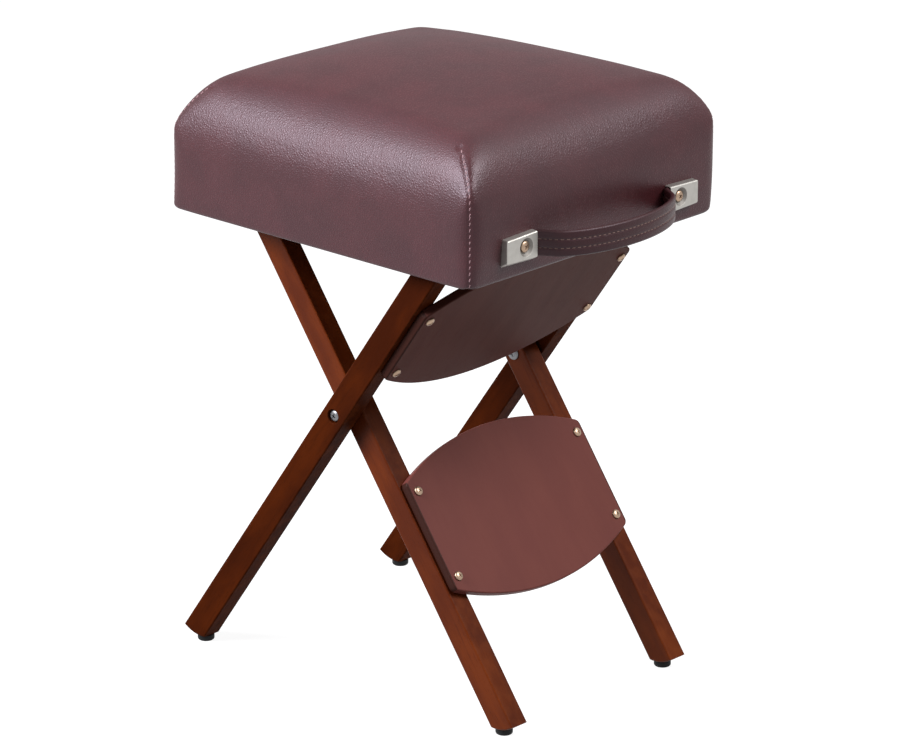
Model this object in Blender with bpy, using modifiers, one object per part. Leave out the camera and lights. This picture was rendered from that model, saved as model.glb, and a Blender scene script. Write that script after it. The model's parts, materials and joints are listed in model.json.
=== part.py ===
# Folding massage stool: a padded seat on two crossed wooden leg frames.
# Units are metres, +Z is up, and the handle is on the +X end of the seat.
# Left is -Y and right is +Y. The stool stands open, with its feet on Z = 0.

import math

import bmesh
import bpy
import numpy as np
from mathutils import Matrix, Vector

# Stance
SEAT_HEIGHT = 0.460
PIVOT_SHARE = 0.6217

# Legs
LEG_DEPTH = 0.027
LEG_THICK = 0.022
LEG_EDGE = 0.003
LEG_END_RADIUS = 0.040
LEG_GAP = 0.0034

# Plates across the legs
PLATE_THICK = 0.009
PLATE_ARC = 0.290
PLATE_CORNER = 0.004
PLATE_EDGE = 0.0016
UPPER_PLATE_INSET = 0.0059
UPPER_PLATE_SIDE = 0.091
UPPER_PLATE_SHARE = 0.5457
UPPER_SCREW_INSET = 0.0079
LOWER_PLATE_INSET = 0.0025
LOWER_PLATE_SIDE = 0.113
LOWER_PLATE_SHARE = 0.4205
LOWER_SCREW_INSET = 0.01125
PLATE_SCREW_INSET = 0.0103

# Fasteners
SCREW_HEAD_RADIUS = 0.0047
SCREW_HEAD_HEIGHT = 0.0029
SCREW_RADIUS = 0.0022
SCREW_BITE = 0.016
BOLT_RADIUS = 0.004
BOLT_HEAD_RADIUS = 0.006
BOLT_HEAD_HEIGHT = 0.0034
COUNTERBORE_MARGIN = 0.001
HEAD_RECESS = 0.0005
NUT_FLANGE_RADIUS = 0.0066
NUT_FLANGE_HEIGHT = 0.0028
NUT_SLEEVE_WALL = 0.0012
NUT_SLEEVE_LENGTH = 0.015
WASHER_MARGIN = 0.005

# Feet
GLIDE_RADIUS = 0.0085
GLIDE_HEIGHT = 0.0063
GLIDE_ROUND = 0.0022
GLIDE_PIN_RADIUS = 0.0014
GLIDE_PIN_LENGTH = 0.012
GLIDE_OUTWARD = 0.003

# Top rail of the inner frame and the seat's hinge
HINGE_RISE = 0.010
HINGE_INSET = 0.0663
HINGE_WASHER_THICK = 0.0022
TOP_RAIL_RADIUS = 0.009
TENON_RADIUS = 0.0055
TENON_LENGTH = 0.011
TENON_SCREW_RADIUS = 0.0018
TENON_SCREW_HEAD = 0.0036
TENON_SCREW_LENGTH = 0.028
HINGE_BOLT_GRIP = 0.0105

# Seat
SEAT_LENGTH = 0.396
SEAT_WIDTH = 0.352
SIDE_HEIGHT = 0.080
SHOULDER_RISE = 0.047
SHOULDER_REACH = 0.057
SHOULDER_POWER = 2.4
CROWN = 0.021
SEAT_CORNER = 0.014
SIDE_SWELL = 0.0025
BOTTOM_ROUND = 0.0015
COVER_THICK = 0.0015
HEM_WIDTH = 0.013
RAIL_HEIGHT = 0.038
RAIL_EDGE = 0.001
SIDE_RAIL_THICK = 0.018
END_RAIL_THICK = 0.018
BOARD_THICK = 0.012
RUNNER_WIDTH = 0.020
RUNNER_CLEARANCE = 0.026
RUNNER_STOP = 0.014
RUNNER_LIP = 0.005
RUNNER_HINGE_CLEARANCE = 0.013
RUNNER_SCREW_INSET = 0.0567
RUNNER_SCREW_BITE = 0.007

# Handle
HANDLE_OFFSET = 0.002
HANDLE_RISE = 0.0308
HANDLE_HOLE_INSET = 0.0655
HANDLE_REACH = 0.0525
STRAP_WIDTH = 0.0252
STRAP_THICK = 0.0046
STRAP_EDGE = 0.0008
STRAP_TAIL_WIDTH = 0.0205
STRAP_BEND = 0.010
STRAP_TAIL = 0.010
CAP_LENGTH = 0.041
CAP_HOLE_SETBACK = 0.026
CAP_HEIGHT = 0.0250
CAP_TAPER = 0.0028
CAP_FLARE_TOP = 0.0008
CAP_FLARE_BOTTOM = 0.0055
CAP_PROUD = 0.0104
CAP_WALL = 0.0012
CAP_ROUND = 0.0016
DISH_RADIUS = 0.0092
DISH_FLOOR_RADIUS = 0.0064
DISH_DEPTH = 0.0034
HANDLE_SCREW_HEAD = 0.0056
HANDLE_SCREW_HEIGHT = 0.0028
HANDLE_SCREW_BITE = 0.013

# Clearances
SEAT_GAP = 0.0003
RUNNING_GAP = 0.0003

# Facets
ROUND_STEPS = 20
SMALL_STEPS = 14
ARC_STEPS = 18
END_STEPS = 8
PAD_CUTS = 9

# Worked-out places
CORE_INSET = COVER_THICK + SEAT_GAP
PIVOT_HEIGHT = SEAT_HEIGHT * PIVOT_SHARE
HINGE_HEIGHT = SEAT_HEIGHT + HINGE_RISE
HINGE_REACH = SEAT_LENGTH / 2 - HINGE_INSET
LEG_LEAN = math.atan2(HINGE_REACH, HINGE_HEIGHT - PIVOT_HEIGHT)
SIN_LEAN = math.sin(LEG_LEAN)
COS_LEAN = math.cos(LEG_LEAN)
ARM_UP = HINGE_REACH / SIN_LEAN
END_ARC_DOWN = (
    PIVOT_HEIGHT + LEG_DEPTH / 2 * SIN_LEAN - GLIDE_HEIGHT - SEAT_GAP - LEG_END_RADIUS
) / COS_LEAN
FOOT_REACH = (END_ARC_DOWN + LEG_END_RADIUS) * SIN_LEAN + LEG_DEPTH / 2 * COS_LEAN
ORIGIN_SHIFT = (FOOT_REACH - SEAT_LENGTH / 2 - HANDLE_REACH) / 2
SIDE_RAIL_FACE = SEAT_WIDTH / 2 - CORE_INSET - SIDE_RAIL_THICK
OUTER_LEG_FACE = SIDE_RAIL_FACE - HINGE_WASHER_THICK - 2 * SEAT_GAP
OUTER_LEG_Y = OUTER_LEG_FACE - LEG_THICK / 2
INNER_LEG_Y = OUTER_LEG_Y - LEG_THICK - LEG_GAP
INNER_LEG_FACE = INNER_LEG_Y - LEG_THICK / 2
UPPER_PLATE_WIDTH = 2 * (OUTER_LEG_FACE - UPPER_PLATE_INSET)
UPPER_PLATE_UP = ARM_UP * UPPER_PLATE_SHARE
UPPER_SCREW_PITCH = UPPER_PLATE_SIDE - 2 * UPPER_SCREW_INSET
LOWER_PLATE_WIDTH = 2 * (INNER_LEG_FACE + LEG_THICK - LOWER_PLATE_INSET)
LOWER_PLATE_DOWN = (END_ARC_DOWN + LEG_END_RADIUS) * LOWER_PLATE_SHARE
LOWER_SCREW_PITCH = LOWER_PLATE_SIDE - 2 * LOWER_SCREW_INSET
COUNTERBORE_DEPTH = BOLT_HEAD_HEIGHT + SEAT_GAP + HEAD_RECESS
RAIL_LOW = COVER_THICK + SEAT_GAP
RAIL_TOP = RAIL_LOW + RAIL_HEIGHT
BOARD_LOW = RAIL_TOP + SEAT_GAP
FOAM_LOW = BOARD_LOW + BOARD_THICK + SEAT_GAP
RUNNER_OFFSET = INNER_LEG_FACE - RUNNER_CLEARANCE - RUNNER_WIDTH / 2
RUNNER_SCREW_SPAN = 2 * (HINGE_REACH - RUNNER_SCREW_INSET)
HANDLE_HOLE_PITCH = SEAT_WIDTH - 2 * HANDLE_HOLE_INSET

SIDES = {"left": -1, "right": 1}

# Finishes: colour, roughness and metallic value
WOOD_LEG = ((0.118, 0.032, 0.010), 0.38, 0.0)
WOOD_PLATE = ((0.150, 0.048, 0.030), 0.36, 0.0)
WOOD_PALE = ((0.420, 0.270, 0.130), 0.60, 0.0)
LEATHERETTE = ((0.105, 0.040, 0.045), 0.42, 0.0)
FOAM = ((0.780, 0.700, 0.420), 0.95, 0.0)
NICKEL = ((0.600, 0.580, 0.550), 0.30, 1.0)
STEEL = ((0.560, 0.560, 0.550), 0.32, 1.0)
BRASSY = ((0.620, 0.480, 0.300), 0.35, 1.0)
BLACK_PLASTIC = ((0.012, 0.012, 0.012), 0.50, 0.0)

for old in list(bpy.data.objects):
    bpy.data.objects.remove(old, do_unlink=True)

stool = bpy.data.collections.new("folding_massage_stool")
cutters = bpy.data.collections.new("cutters")
bpy.context.scene.collection.children.link(stool)
bpy.context.scene.collection.children.link(cutters)


def add_empty(name, parent=None, location=(0, 0, 0), lean=0.0):
    empty = bpy.data.objects.new(name, None)
    empty.empty_display_size = 0.05
    empty.parent = parent
    empty.location = location
    empty.rotation_euler = (0, lean, 0)
    stool.objects.link(empty)
    return empty


def add_piece(name, mesh, parent, finish, location=(0, 0, 0), rotation=(0, 0, 0)):
    piece = bpy.data.objects.new(name, mesh)
    piece.parent = parent
    piece.location = location
    piece.rotation_euler = rotation
    stool.objects.link(piece)
    colour, roughness, metallic = finish
    material = bpy.data.materials.new(name + "_finish")
    material.use_nodes = True
    shader = material.node_tree.nodes["Principled BSDF"]
    shader.inputs["Base Color"].default_value = (*colour, 1.0)
    shader.inputs["Roughness"].default_value = roughness
    shader.inputs["Metallic"].default_value = metallic
    mesh.materials.append(material)
    return piece


def add_cutter(name, mesh, parent, location=(0, 0, 0), rotation=(0, 0, 0)):
    cutter = bpy.data.objects.new(name, mesh)
    cutter.parent = parent
    cutter.location = location
    cutter.rotation_euler = rotation
    cutter.hide_render = True
    cutter.display_type = "WIRE"
    cutters.objects.link(cutter)
    return cutter


def combine(piece, cutter, operation):
    step = piece.modifiers.new(operation.lower(), "BOOLEAN")
    step.operation = operation
    step.solver = "EXACT"
    step.object = cutter


def soften(piece, width, segments, angle=math.radians(40)):
    bevel = piece.modifiers.new("soft_edges", "BEVEL")
    bevel.width = width
    bevel.segments = segments
    bevel.limit_method = "ANGLE"
    bevel.angle_limit = angle
    piece.data.shade_smooth()


def flat_mesh(name, outline, thickness, turn):
    # A closed outline in the curve's own plane, given a thickness and turned to where it lies.
    curve = bpy.data.curves.new(name, "CURVE")
    curve.dimensions = "2D"
    curve.fill_mode = "BOTH"
    curve.extrude = thickness / 2
    spline = curve.splines.new("POLY")
    spline.points.add(len(outline) - 1)
    for point, (x, y) in zip(spline.points, outline):
        point.co = (x, y, 0, 1)
    spline.use_cyclic_u = True
    drawn = bpy.data.objects.new(name + "_outline", curve)
    bpy.context.scene.collection.objects.link(drawn)
    evaluated = drawn.evaluated_get(bpy.context.evaluated_depsgraph_get())
    mesh = bpy.data.meshes.new_from_object(evaluated)
    bpy.data.objects.remove(drawn, do_unlink=True)
    bpy.data.curves.remove(curve)
    mesh.name = name
    shape = bmesh.new()
    shape.from_mesh(mesh)
    bmesh.ops.remove_doubles(shape, verts=shape.verts, dist=1e-6)
    bmesh.ops.dissolve_limit(
        shape, angle_limit=math.radians(0.5), verts=shape.verts, edges=shape.edges
    )
    shape.to_mesh(mesh)
    shape.free()
    mesh.transform(turn)
    return mesh


# The outline's own X and Y become the frame's X and Z, Y and Z, or X and Y.
LAY_XZ = Matrix.Rotation(math.pi / 2, 4, "X")
LAY_YZ = Matrix(((0, 0, 1, 0), (1, 0, 0, 0), (0, 1, 0, 0), (0, 0, 0, 1)))
LAY_XY = Matrix.Identity(4)


def turned_mesh(name, profile):
    # Half profile of (radius, height) points, from the top down its outer side.
    shape = bmesh.new()
    points = [shape.verts.new((radius, 0, height)) for radius, height in profile]
    for start, end in zip(points, points[1:]):
        shape.edges.new((start, end))
    mesh = bpy.data.meshes.new(name)
    shape.to_mesh(mesh)
    shape.free()
    return mesh


def spin(piece, steps):
    screw = piece.modifiers.new("turned", "SCREW")
    screw.steps = steps
    screw.render_steps = steps
    screw.use_merge_vertices = True
    screw.merge_threshold = 1e-5
    screw.use_normal_calculate = False


def turned(name, profile, parent, finish, location, rotation, steps=ROUND_STEPS):
    piece = add_piece(name, turned_mesh(name, profile), parent, finish, location, rotation)
    spin(piece, steps)
    return piece


def turned_cutter(name, profile, parent, location, rotation, steps=ROUND_STEPS):
    cutter = add_cutter(name, turned_mesh(name, profile), parent, location, rotation)
    spin(cutter, steps)
    return cutter


def box_mesh(name, size):
    shape = bmesh.new()
    bmesh.ops.create_cube(shape, size=1.0, matrix=Matrix.Diagonal((*size, 1)))
    mesh = bpy.data.meshes.new(name)
    shape.to_mesh(mesh)
    shape.free()
    return mesh


def bore(piece, parent, holes):
    # Round holes: each is a mouth, an inward direction, a radius and a depth.
    shape = bmesh.new()
    for mouth, inward, radius, depth in holes:
        way = Vector(inward).normalized()
        overrun = radius / 2
        middle = Vector(mouth) + way * (depth - overrun) / 2
        turn = way.to_track_quat("Z", "Y").to_matrix().to_4x4()
        bmesh.ops.create_cone(
            shape,
            cap_ends=True,
            segments=SMALL_STEPS,
            radius1=radius,
            radius2=radius,
            depth=depth + overrun,
            matrix=Matrix.Translation(middle) @ turn,
        )
    mesh = bpy.data.meshes.new(piece.name + "_holes")
    shape.to_mesh(mesh)
    shape.free()
    combine(piece, add_cutter(piece.name + "_holes", mesh, parent), "DIFFERENCE")


def facing(side):
    # Turns a turned piece's axis to point along the stool's Y, outwards on that side.
    return (-side * math.pi / 2, 0, 0)


def arc(centre, radius, start, end, steps):
    angles = [start + (end - start) * step / steps for step in range(steps + 1)]
    return [(centre[0] + radius * math.cos(a), centre[1] + radius * math.sin(a)) for a in angles]


def rounded_corner(before, corner, after, radius, steps=4):
    corner = Vector(corner)
    to_before = (Vector(before) - corner).normalized()
    to_after = (Vector(after) - corner).normalized()
    half = to_before.angle(to_after) / 2
    start = corner + to_before * radius / math.tan(half)
    middle = corner + (to_before + to_after).normalized() * radius / math.sin(half)
    first = (start - middle).to_2d()
    sweep = math.pi - 2 * half
    turn = math.copysign(1, to_before.x * to_after.y - to_before.y * to_after.x)
    points = []
    for step in range(steps + 1):
        spoke = Matrix.Rotation(-turn * sweep * step / steps, 2) @ first
        points.append((middle.x + spoke.x, middle.y + spoke.y))
    return points


# Frames: each leg frame's own Z runs up along its legs from the pivot, and its X points to the
# handle's side. The inner frame and the seat turn about the Y axes of their own empties.
root = add_empty("stool", None, (ORIGIN_SHIFT, 0, 0))
outer_frame = add_empty("outer_frame", root, (0, 0, PIVOT_HEIGHT), LEG_LEAN)
inner_frame = add_empty("inner_frame", outer_frame, (0, 0, 0), -2 * LEG_LEAN)
seat = add_empty("seat", outer_frame, (0, 0, ARM_UP), -LEG_LEAN)


def on_seat(x, y, z):
    # From the seat's own centre and underside to the hinge's frame.
    return Vector((x - HINGE_REACH, y, z - HINGE_RISE))


# Legs
def leg_outline(foot_side):
    # Round at the top, and cut at the foot to an arc about a point on the foot's outer edge.
    half = LEG_DEPTH / 2
    top = arc((0, ARM_UP), half, 0, math.pi, END_STEPS * 2)
    sweep = math.asin(LEG_DEPTH / LEG_END_RADIUS)
    foot = []
    for step in range(END_STEPS + 1):
        angle = sweep * step / END_STEPS
        across = foot_side * (half - LEG_END_RADIUS * math.sin(angle))
        foot.append((across, -END_ARC_DOWN - LEG_END_RADIUS * math.cos(angle)))
    if foot_side > 0:
        foot.reverse()
    return top + foot


def glide_place(foot_side):
    # Where the glide's middle meets the leg, in the leg frame: below the end arc's centre.
    drop = LEG_END_RADIUS + SEAT_GAP
    across = foot_side * (LEG_DEPTH / 2 - drop * SIN_LEAN + GLIDE_OUTWARD * COS_LEAN)
    return across, -END_ARC_DOWN - drop * COS_LEAN - GLIDE_OUTWARD * SIN_LEAN


def make_leg(name, parent, foot_side, y, finish):
    mesh = flat_mesh(name, leg_outline(foot_side), LEG_THICK, LAY_XZ)
    leg = add_piece(name, mesh, parent, finish, (0, y, 0))
    soften(leg, LEG_EDGE, 3)
    return leg


def make_glide(name, parent, foot_side, y):
    profile = [
        (0, GLIDE_PIN_LENGTH),
        (GLIDE_PIN_RADIUS, GLIDE_PIN_LENGTH - GLIDE_PIN_RADIUS),
        (GLIDE_PIN_RADIUS, 0),
        (GLIDE_RADIUS - GLIDE_ROUND / 3, 0),
        (GLIDE_RADIUS, -GLIDE_ROUND / 3),
        (GLIDE_RADIUS, GLIDE_ROUND - GLIDE_HEIGHT),
        (GLIDE_RADIUS - GLIDE_ROUND * 0.3, GLIDE_ROUND * 0.3 - GLIDE_HEIGHT),
        (GLIDE_RADIUS - GLIDE_ROUND, -GLIDE_HEIGHT),
        (0, -GLIDE_HEIGHT),
    ]
    across, along = glide_place(foot_side)
    upright = (0, foot_side * LEG_LEAN, 0)
    return turned(name, profile, parent, BLACK_PLASTIC, (across, y, along), upright)


def glide_hole(foot_side, y):
    across, along = glide_place(foot_side)
    upward = (foot_side * SIN_LEAN, 0, COS_LEAN)
    depth = GLIDE_PIN_LENGTH + LEG_END_RADIUS / 8
    return ((across, y, along), upward, GLIDE_PIN_RADIUS + RUNNING_GAP, depth)


def plate_screw_rows(middle, pitch):
    return (middle - pitch / 2, middle + pitch / 2)


def screw_holes(width, rows, depth):
    y = width / 2 - PLATE_SCREW_INSET
    mouth = LEG_DEPTH / 2
    holes = {}
    for name, side in SIDES.items():
        holes[name] = [
            ((mouth, side * y, row), (-1, 0, 0), SCREW_RADIUS + RUNNING_GAP, depth) for row in rows
        ]
    return holes


UPPER_ROWS = plate_screw_rows(UPPER_PLATE_UP, UPPER_SCREW_PITCH)
LOWER_ROWS = plate_screw_rows(-LOWER_PLATE_DOWN, LOWER_SCREW_PITCH)
PILOT_DEPTH = SCREW_BITE + RUNNING_GAP
outer_pilots = screw_holes(UPPER_PLATE_WIDTH, UPPER_ROWS, PILOT_DEPTH)
inner_pilots = screw_holes(LOWER_PLATE_WIDTH, LOWER_ROWS, PILOT_DEPTH)

BOLT_HOLE = BOLT_RADIUS + RUNNING_GAP
COUNTERBORE = BOLT_HEAD_RADIUS + COUNTERBORE_MARGIN
SLEEVE_RADIUS = BOLT_HOLE + NUT_SLEEVE_WALL

for name, side in SIDES.items():
    out = (0, side, 0)
    inward = (0, -side, 0)
    outside = side * OUTER_LEG_FACE
    inside = side * (OUTER_LEG_FACE - LEG_THICK)

    leg = make_leg("outer_leg_" + name, outer_frame, -1, side * OUTER_LEG_Y, WOOD_LEG)
    bore(leg, outer_frame, [
        ((0, outside, 0), inward, COUNTERBORE, COUNTERBORE_DEPTH),
        ((0, inside, ARM_UP), out, COUNTERBORE, COUNTERBORE_DEPTH),
    ])
    bore(leg, outer_frame, outer_pilots[name] + [
        ((0, outside, 0), inward, BOLT_HOLE, LEG_THICK * 1.5),
        ((0, inside, ARM_UP), out, BOLT_HOLE, LEG_THICK * 1.5),
        glide_hole(-1, side * OUTER_LEG_Y),
    ])
    make_glide("outer_foot_" + name, outer_frame, -1, side * OUTER_LEG_Y)

    near = side * INNER_LEG_FACE
    far = side * (INNER_LEG_FACE + LEG_THICK)
    leg = make_leg("inner_leg_" + name, inner_frame, 1, side * INNER_LEG_Y, WOOD_LEG)
    countersink = turned_cutter(
        leg.name + "_countersink",
        [
            (0, RUNNING_GAP),
            (TENON_SCREW_HEAD + 2 * RUNNING_GAP, RUNNING_GAP),
            (0, -TENON_SCREW_HEAD - RUNNING_GAP),
        ],
        inner_frame,
        (0, far, ARM_UP),
        (-side * math.pi / 2, math.pi / ROUND_STEPS / 2, 0),
    )
    combine(leg, countersink, "DIFFERENCE")
    tenon_hole = TENON_RADIUS + RUNNING_GAP
    bore(leg, inner_frame, [
        ((0, near, ARM_UP), out, tenon_hole, TENON_LENGTH + SEAT_GAP),
    ])
    bore(leg, inner_frame, inner_pilots[name] + [
        ((0, near, 0), out, SLEEVE_RADIUS + RUNNING_GAP, LEG_THICK * 1.5),
        ((0, near, ARM_UP), out, TENON_SCREW_RADIUS + RUNNING_GAP, LEG_THICK * 1.5),
        glide_hole(1, side * INNER_LEG_Y),
    ])
    make_glide("inner_foot_" + name, inner_frame, 1, side * INNER_LEG_Y)


# Plates across the legs
def barrel_outline(width, side):
    # Straight sides with arcs above and below, and small rounded corners.
    half = width / 2
    spread = math.asin(half / PLATE_ARC)
    low = side / 2 - PLATE_ARC * math.cos(spread)
    upper = arc((0, low), PLATE_ARC, math.pi / 2 - spread, math.pi / 2 + spread, ARC_STEPS)
    lower = [(-x, -y) for x, y in upper]
    loop = upper + lower
    outline = []
    for index, point in enumerate(loop):
        place = index % len(upper)
        if place in (0, len(upper) - 1):
            before = loop[index - 1]
            after = loop[(index + 1) % len(loop)]
            outline += rounded_corner(before, point, after, PLATE_CORNER)
        else:
            outline.append(point)
    return outline


def make_plate(name, parent, width, side, middle, rows):
    mesh = flat_mesh(name, barrel_outline(width, side), PLATE_THICK, LAY_YZ)
    across = LEG_DEPTH / 2 + SEAT_GAP + PLATE_THICK / 2
    plate = add_piece(name, mesh, parent, WOOD_PLATE, (across, 0, middle))
    soften(plate, PLATE_EDGE, 2)
    y = width / 2 - PLATE_SCREW_INSET
    front = LEG_DEPTH / 2 + SEAT_GAP + PLATE_THICK
    holes = []
    for row in rows:
        for side_sign in SIDES.values():
            mouth = (front, side_sign * y, row)
            holes.append((mouth, (-1, 0, 0), SCREW_RADIUS + RUNNING_GAP, PLATE_THICK * 1.5))
    bore(plate, parent, holes)
    for number, (mouth, inward, radius, depth) in enumerate(holes, 1):
        make_plate_screw(f"{name}_screw_{number}", parent, mouth)
    return plate


def make_plate_screw(name, parent, mouth):
    reach = PLATE_THICK + 2 * SEAT_GAP + SCREW_BITE
    profile = [
        (0, SCREW_HEAD_HEIGHT),
        (SCREW_HEAD_RADIUS * 0.5, SCREW_HEAD_HEIGHT * 0.93),
        (SCREW_HEAD_RADIUS * 0.84, SCREW_HEAD_HEIGHT * 0.68),
        (SCREW_HEAD_RADIUS, SCREW_HEAD_HEIGHT * 0.28),
        (SCREW_HEAD_RADIUS, 0),
        (SCREW_RADIUS, 0),
        (SCREW_RADIUS, SCREW_RADIUS * 1.5 - reach),
        (0, -reach),
    ]
    place = Vector(mouth) + Vector((SEAT_GAP, 0, 0))
    turned(name, profile, parent, BRASSY, place, (0, math.pi / 2, 0), SMALL_STEPS)


make_plate("upper_plate", outer_frame, UPPER_PLATE_WIDTH, UPPER_PLATE_SIDE, UPPER_PLATE_UP, UPPER_ROWS)
make_plate("lower_plate", inner_frame, LOWER_PLATE_WIDTH, LOWER_PLATE_SIDE, -LOWER_PLATE_DOWN, LOWER_ROWS)


# Pivot bolts, washers and sleeve nuts
def domed_head(radius, height):
    return [
        (0, height),
        (radius * 0.55, height * 0.92),
        (radius * 0.88, height * 0.62),
        (radius, height * 0.25),
        (radius, 0),
    ]


def washer_profile(radius, thickness):
    outer = radius + WASHER_MARGIN
    return [(radius, thickness), (outer, thickness), (outer, 0), (radius, 0), (radius, thickness)]


for name, side in SIDES.items():
    head_seat = OUTER_LEG_FACE - COUNTERBORE_DEPTH + SEAT_GAP
    bolt_tip = INNER_LEG_FACE + SEAT_GAP
    turned(
        "pivot_bolt_" + name,
        domed_head(BOLT_HEAD_RADIUS, BOLT_HEAD_HEIGHT)
        + [(BOLT_RADIUS, 0), (BOLT_RADIUS, bolt_tip - head_seat), (0, bolt_tip - head_seat)],
        outer_frame,
        STEEL,
        (0, side * head_seat, 0),
        facing(side),
    )
    turned(
        "pivot_washer_" + name,
        washer_profile(BOLT_HOLE, LEG_GAP - 2 * SEAT_GAP),
        outer_frame,
        STEEL,
        (0, side * (INNER_LEG_FACE + LEG_THICK + SEAT_GAP), 0),
        facing(side),
    )
    turned(
        "pivot_nut_" + name,
        domed_head(NUT_FLANGE_RADIUS, NUT_FLANGE_HEIGHT)
        + [
            (SLEEVE_RADIUS, 0),
            (SLEEVE_RADIUS, -NUT_SLEEVE_LENGTH),
            (BOLT_HOLE, -NUT_SLEEVE_LENGTH),
            (BOLT_HOLE, -SEAT_GAP),
            (0, -SEAT_GAP),
        ],
        inner_frame,
        STEEL,
        (0, side * (INNER_LEG_FACE - SEAT_GAP), 0),
        facing(-side),
    )


# Top rail of the inner frame
rail_end = INNER_LEG_FACE - SEAT_GAP
tenon_end = rail_end + SEAT_GAP + TENON_LENGTH
drill_end = tenon_end - TENON_SCREW_LENGTH
top_rail = turned(
    "top_rail",
    [
        (0, tenon_end),
        (TENON_RADIUS, tenon_end),
        (TENON_RADIUS, rail_end),
        (TOP_RAIL_RADIUS, rail_end),
        (TOP_RAIL_RADIUS, -rail_end),
        (TENON_RADIUS, -rail_end),
        (TENON_RADIUS, -tenon_end),
        (0, -tenon_end),
    ],
    inner_frame,
    WOOD_LEG,
    (0, 0, ARM_UP),
    facing(1),
    SMALL_STEPS * 2,
)
bore(top_rail, inner_frame, [
    (
        (0, side * tenon_end, ARM_UP),
        (0, -side, 0),
        TENON_SCREW_RADIUS + RUNNING_GAP,
        TENON_SCREW_LENGTH,
    )
    for side in SIDES.values()
])
for name, side in SIDES.items():
    head_top = INNER_LEG_FACE + LEG_THICK
    head_depth = TENON_SCREW_HEAD - TENON_SCREW_RADIUS
    tip = drill_end + RUNNING_GAP - head_top
    turned(
        "top_rail_screw_" + name,
        [
            (0, 0),
            (TENON_SCREW_HEAD, 0),
            (TENON_SCREW_RADIUS, -head_depth),
            (TENON_SCREW_RADIUS, tip + TENON_SCREW_RADIUS),
            (0, tip),
        ],
        inner_frame,
        STEEL,
        (0, side * head_top, ARM_UP),
        facing(side),
        SMALL_STEPS,
    )


# Seat cover and foam: one padded form, crowned on top and flat where the wood backs it
def ease(distance):
    # Rise of the rounded shoulder with the distance in from an edge.
    part = min(max(distance / SHOULDER_REACH, 0.0), 1.0)
    return (1 - (1 - part) ** SHOULDER_POWER) ** (1 / SHOULDER_POWER)


def ease_back(value):
    # Distance in from an edge at which the shoulder has risen by this part of its height.
    part = 1 - (1 - value**SHOULDER_POWER) ** (1 / SHOULDER_POWER)
    return SHOULDER_REACH * part


def swell(height):
    # The foam pushes the sides out above the board.
    part = min(max((height - FOAM_LOW) / (SIDE_HEIGHT - FOAM_LOW), 0.0), 1.0)
    return SIDE_SWELL * math.sin(part * math.pi / 2)


# Rows of the pad's side from the hem upwards: how far in, and how high below the shoulder.
PAD_ROWS = [
    (BOTTOM_ROUND, 0),
    (0, BOTTOM_ROUND),
    (0, FOAM_LOW),
    (0, (FOAM_LOW + SIDE_HEIGHT) / 2),
    (0, SIDE_HEIGHT),
]
shoulder_steps = PAD_CUTS + 2 - len(PAD_ROWS)
for step in range(1, shoulder_steps + 1):
    PAD_ROWS.append((ease_back(math.sin(step / (shoulder_steps + 0.5) * math.pi / 2)), None))


def spread(part, half, radius):
    # Columns of the pad are close at the corner arcs and wide between them.
    columns = (PAD_CUTS + 1) // 2
    column = round((1 - abs(part)) * columns)
    inner = half - radius
    from_edge = (0, radius * (1 - math.tan(math.pi / 8)), radius, radius + inner * 0.3)
    from_edge += (radius + inner * 0.65, half)
    return math.copysign(half - from_edge[column], part)


def round_plan(x, y, half_x, half_y, radius):
    # Pulls a point of a rectangle in to the same place on a rectangle with round corners.
    over_x = max(abs(x) - (half_x - radius), 0.0)
    over_y = max(abs(y) - (half_y - radius), 0.0)
    if over_x == 0 or over_y == 0:
        return x, y
    pull = max(over_x, over_y) / math.hypot(over_x, over_y)
    x = math.copysign(half_x - radius + over_x * pull, x)
    y = math.copysign(half_y - radius + over_y * pull, y)
    return x, y


def pad_point(a, b, c):
    # A point of a cube from -1 to 1 goes to its place on the pad, from the seat's centre.
    inset, height = PAD_ROWS[round((c + 1) / 2 * (PAD_CUTS + 1))]
    grow = SIDE_SWELL if height is None else swell(height)
    half_x = SEAT_LENGTH / 2 + grow
    half_y = SEAT_WIDTH / 2 + grow
    radius = SEAT_CORNER + inset / 2
    x = spread(a, half_x - inset, radius)
    y = spread(b, half_y - inset, radius)
    x, y = round_plan(x, y, half_x - inset, half_y - inset, radius)
    if height is None:
        rise = ease(half_x - abs(x)) * ease(half_y - abs(y))
        crown = (1 - (x / half_x) ** 2) * (1 - (y / half_y) ** 2)
        height = SIDE_HEIGHT + SHOULDER_RISE * rise + CROWN * crown
    return Vector((x, y, height))


def pad_shape():
    shape = bmesh.new()
    bmesh.ops.create_cube(shape, size=2.0)
    bmesh.ops.subdivide_edges(shape, edges=shape.edges, cuts=PAD_CUTS, use_grid_fill=True)
    return shape


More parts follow.
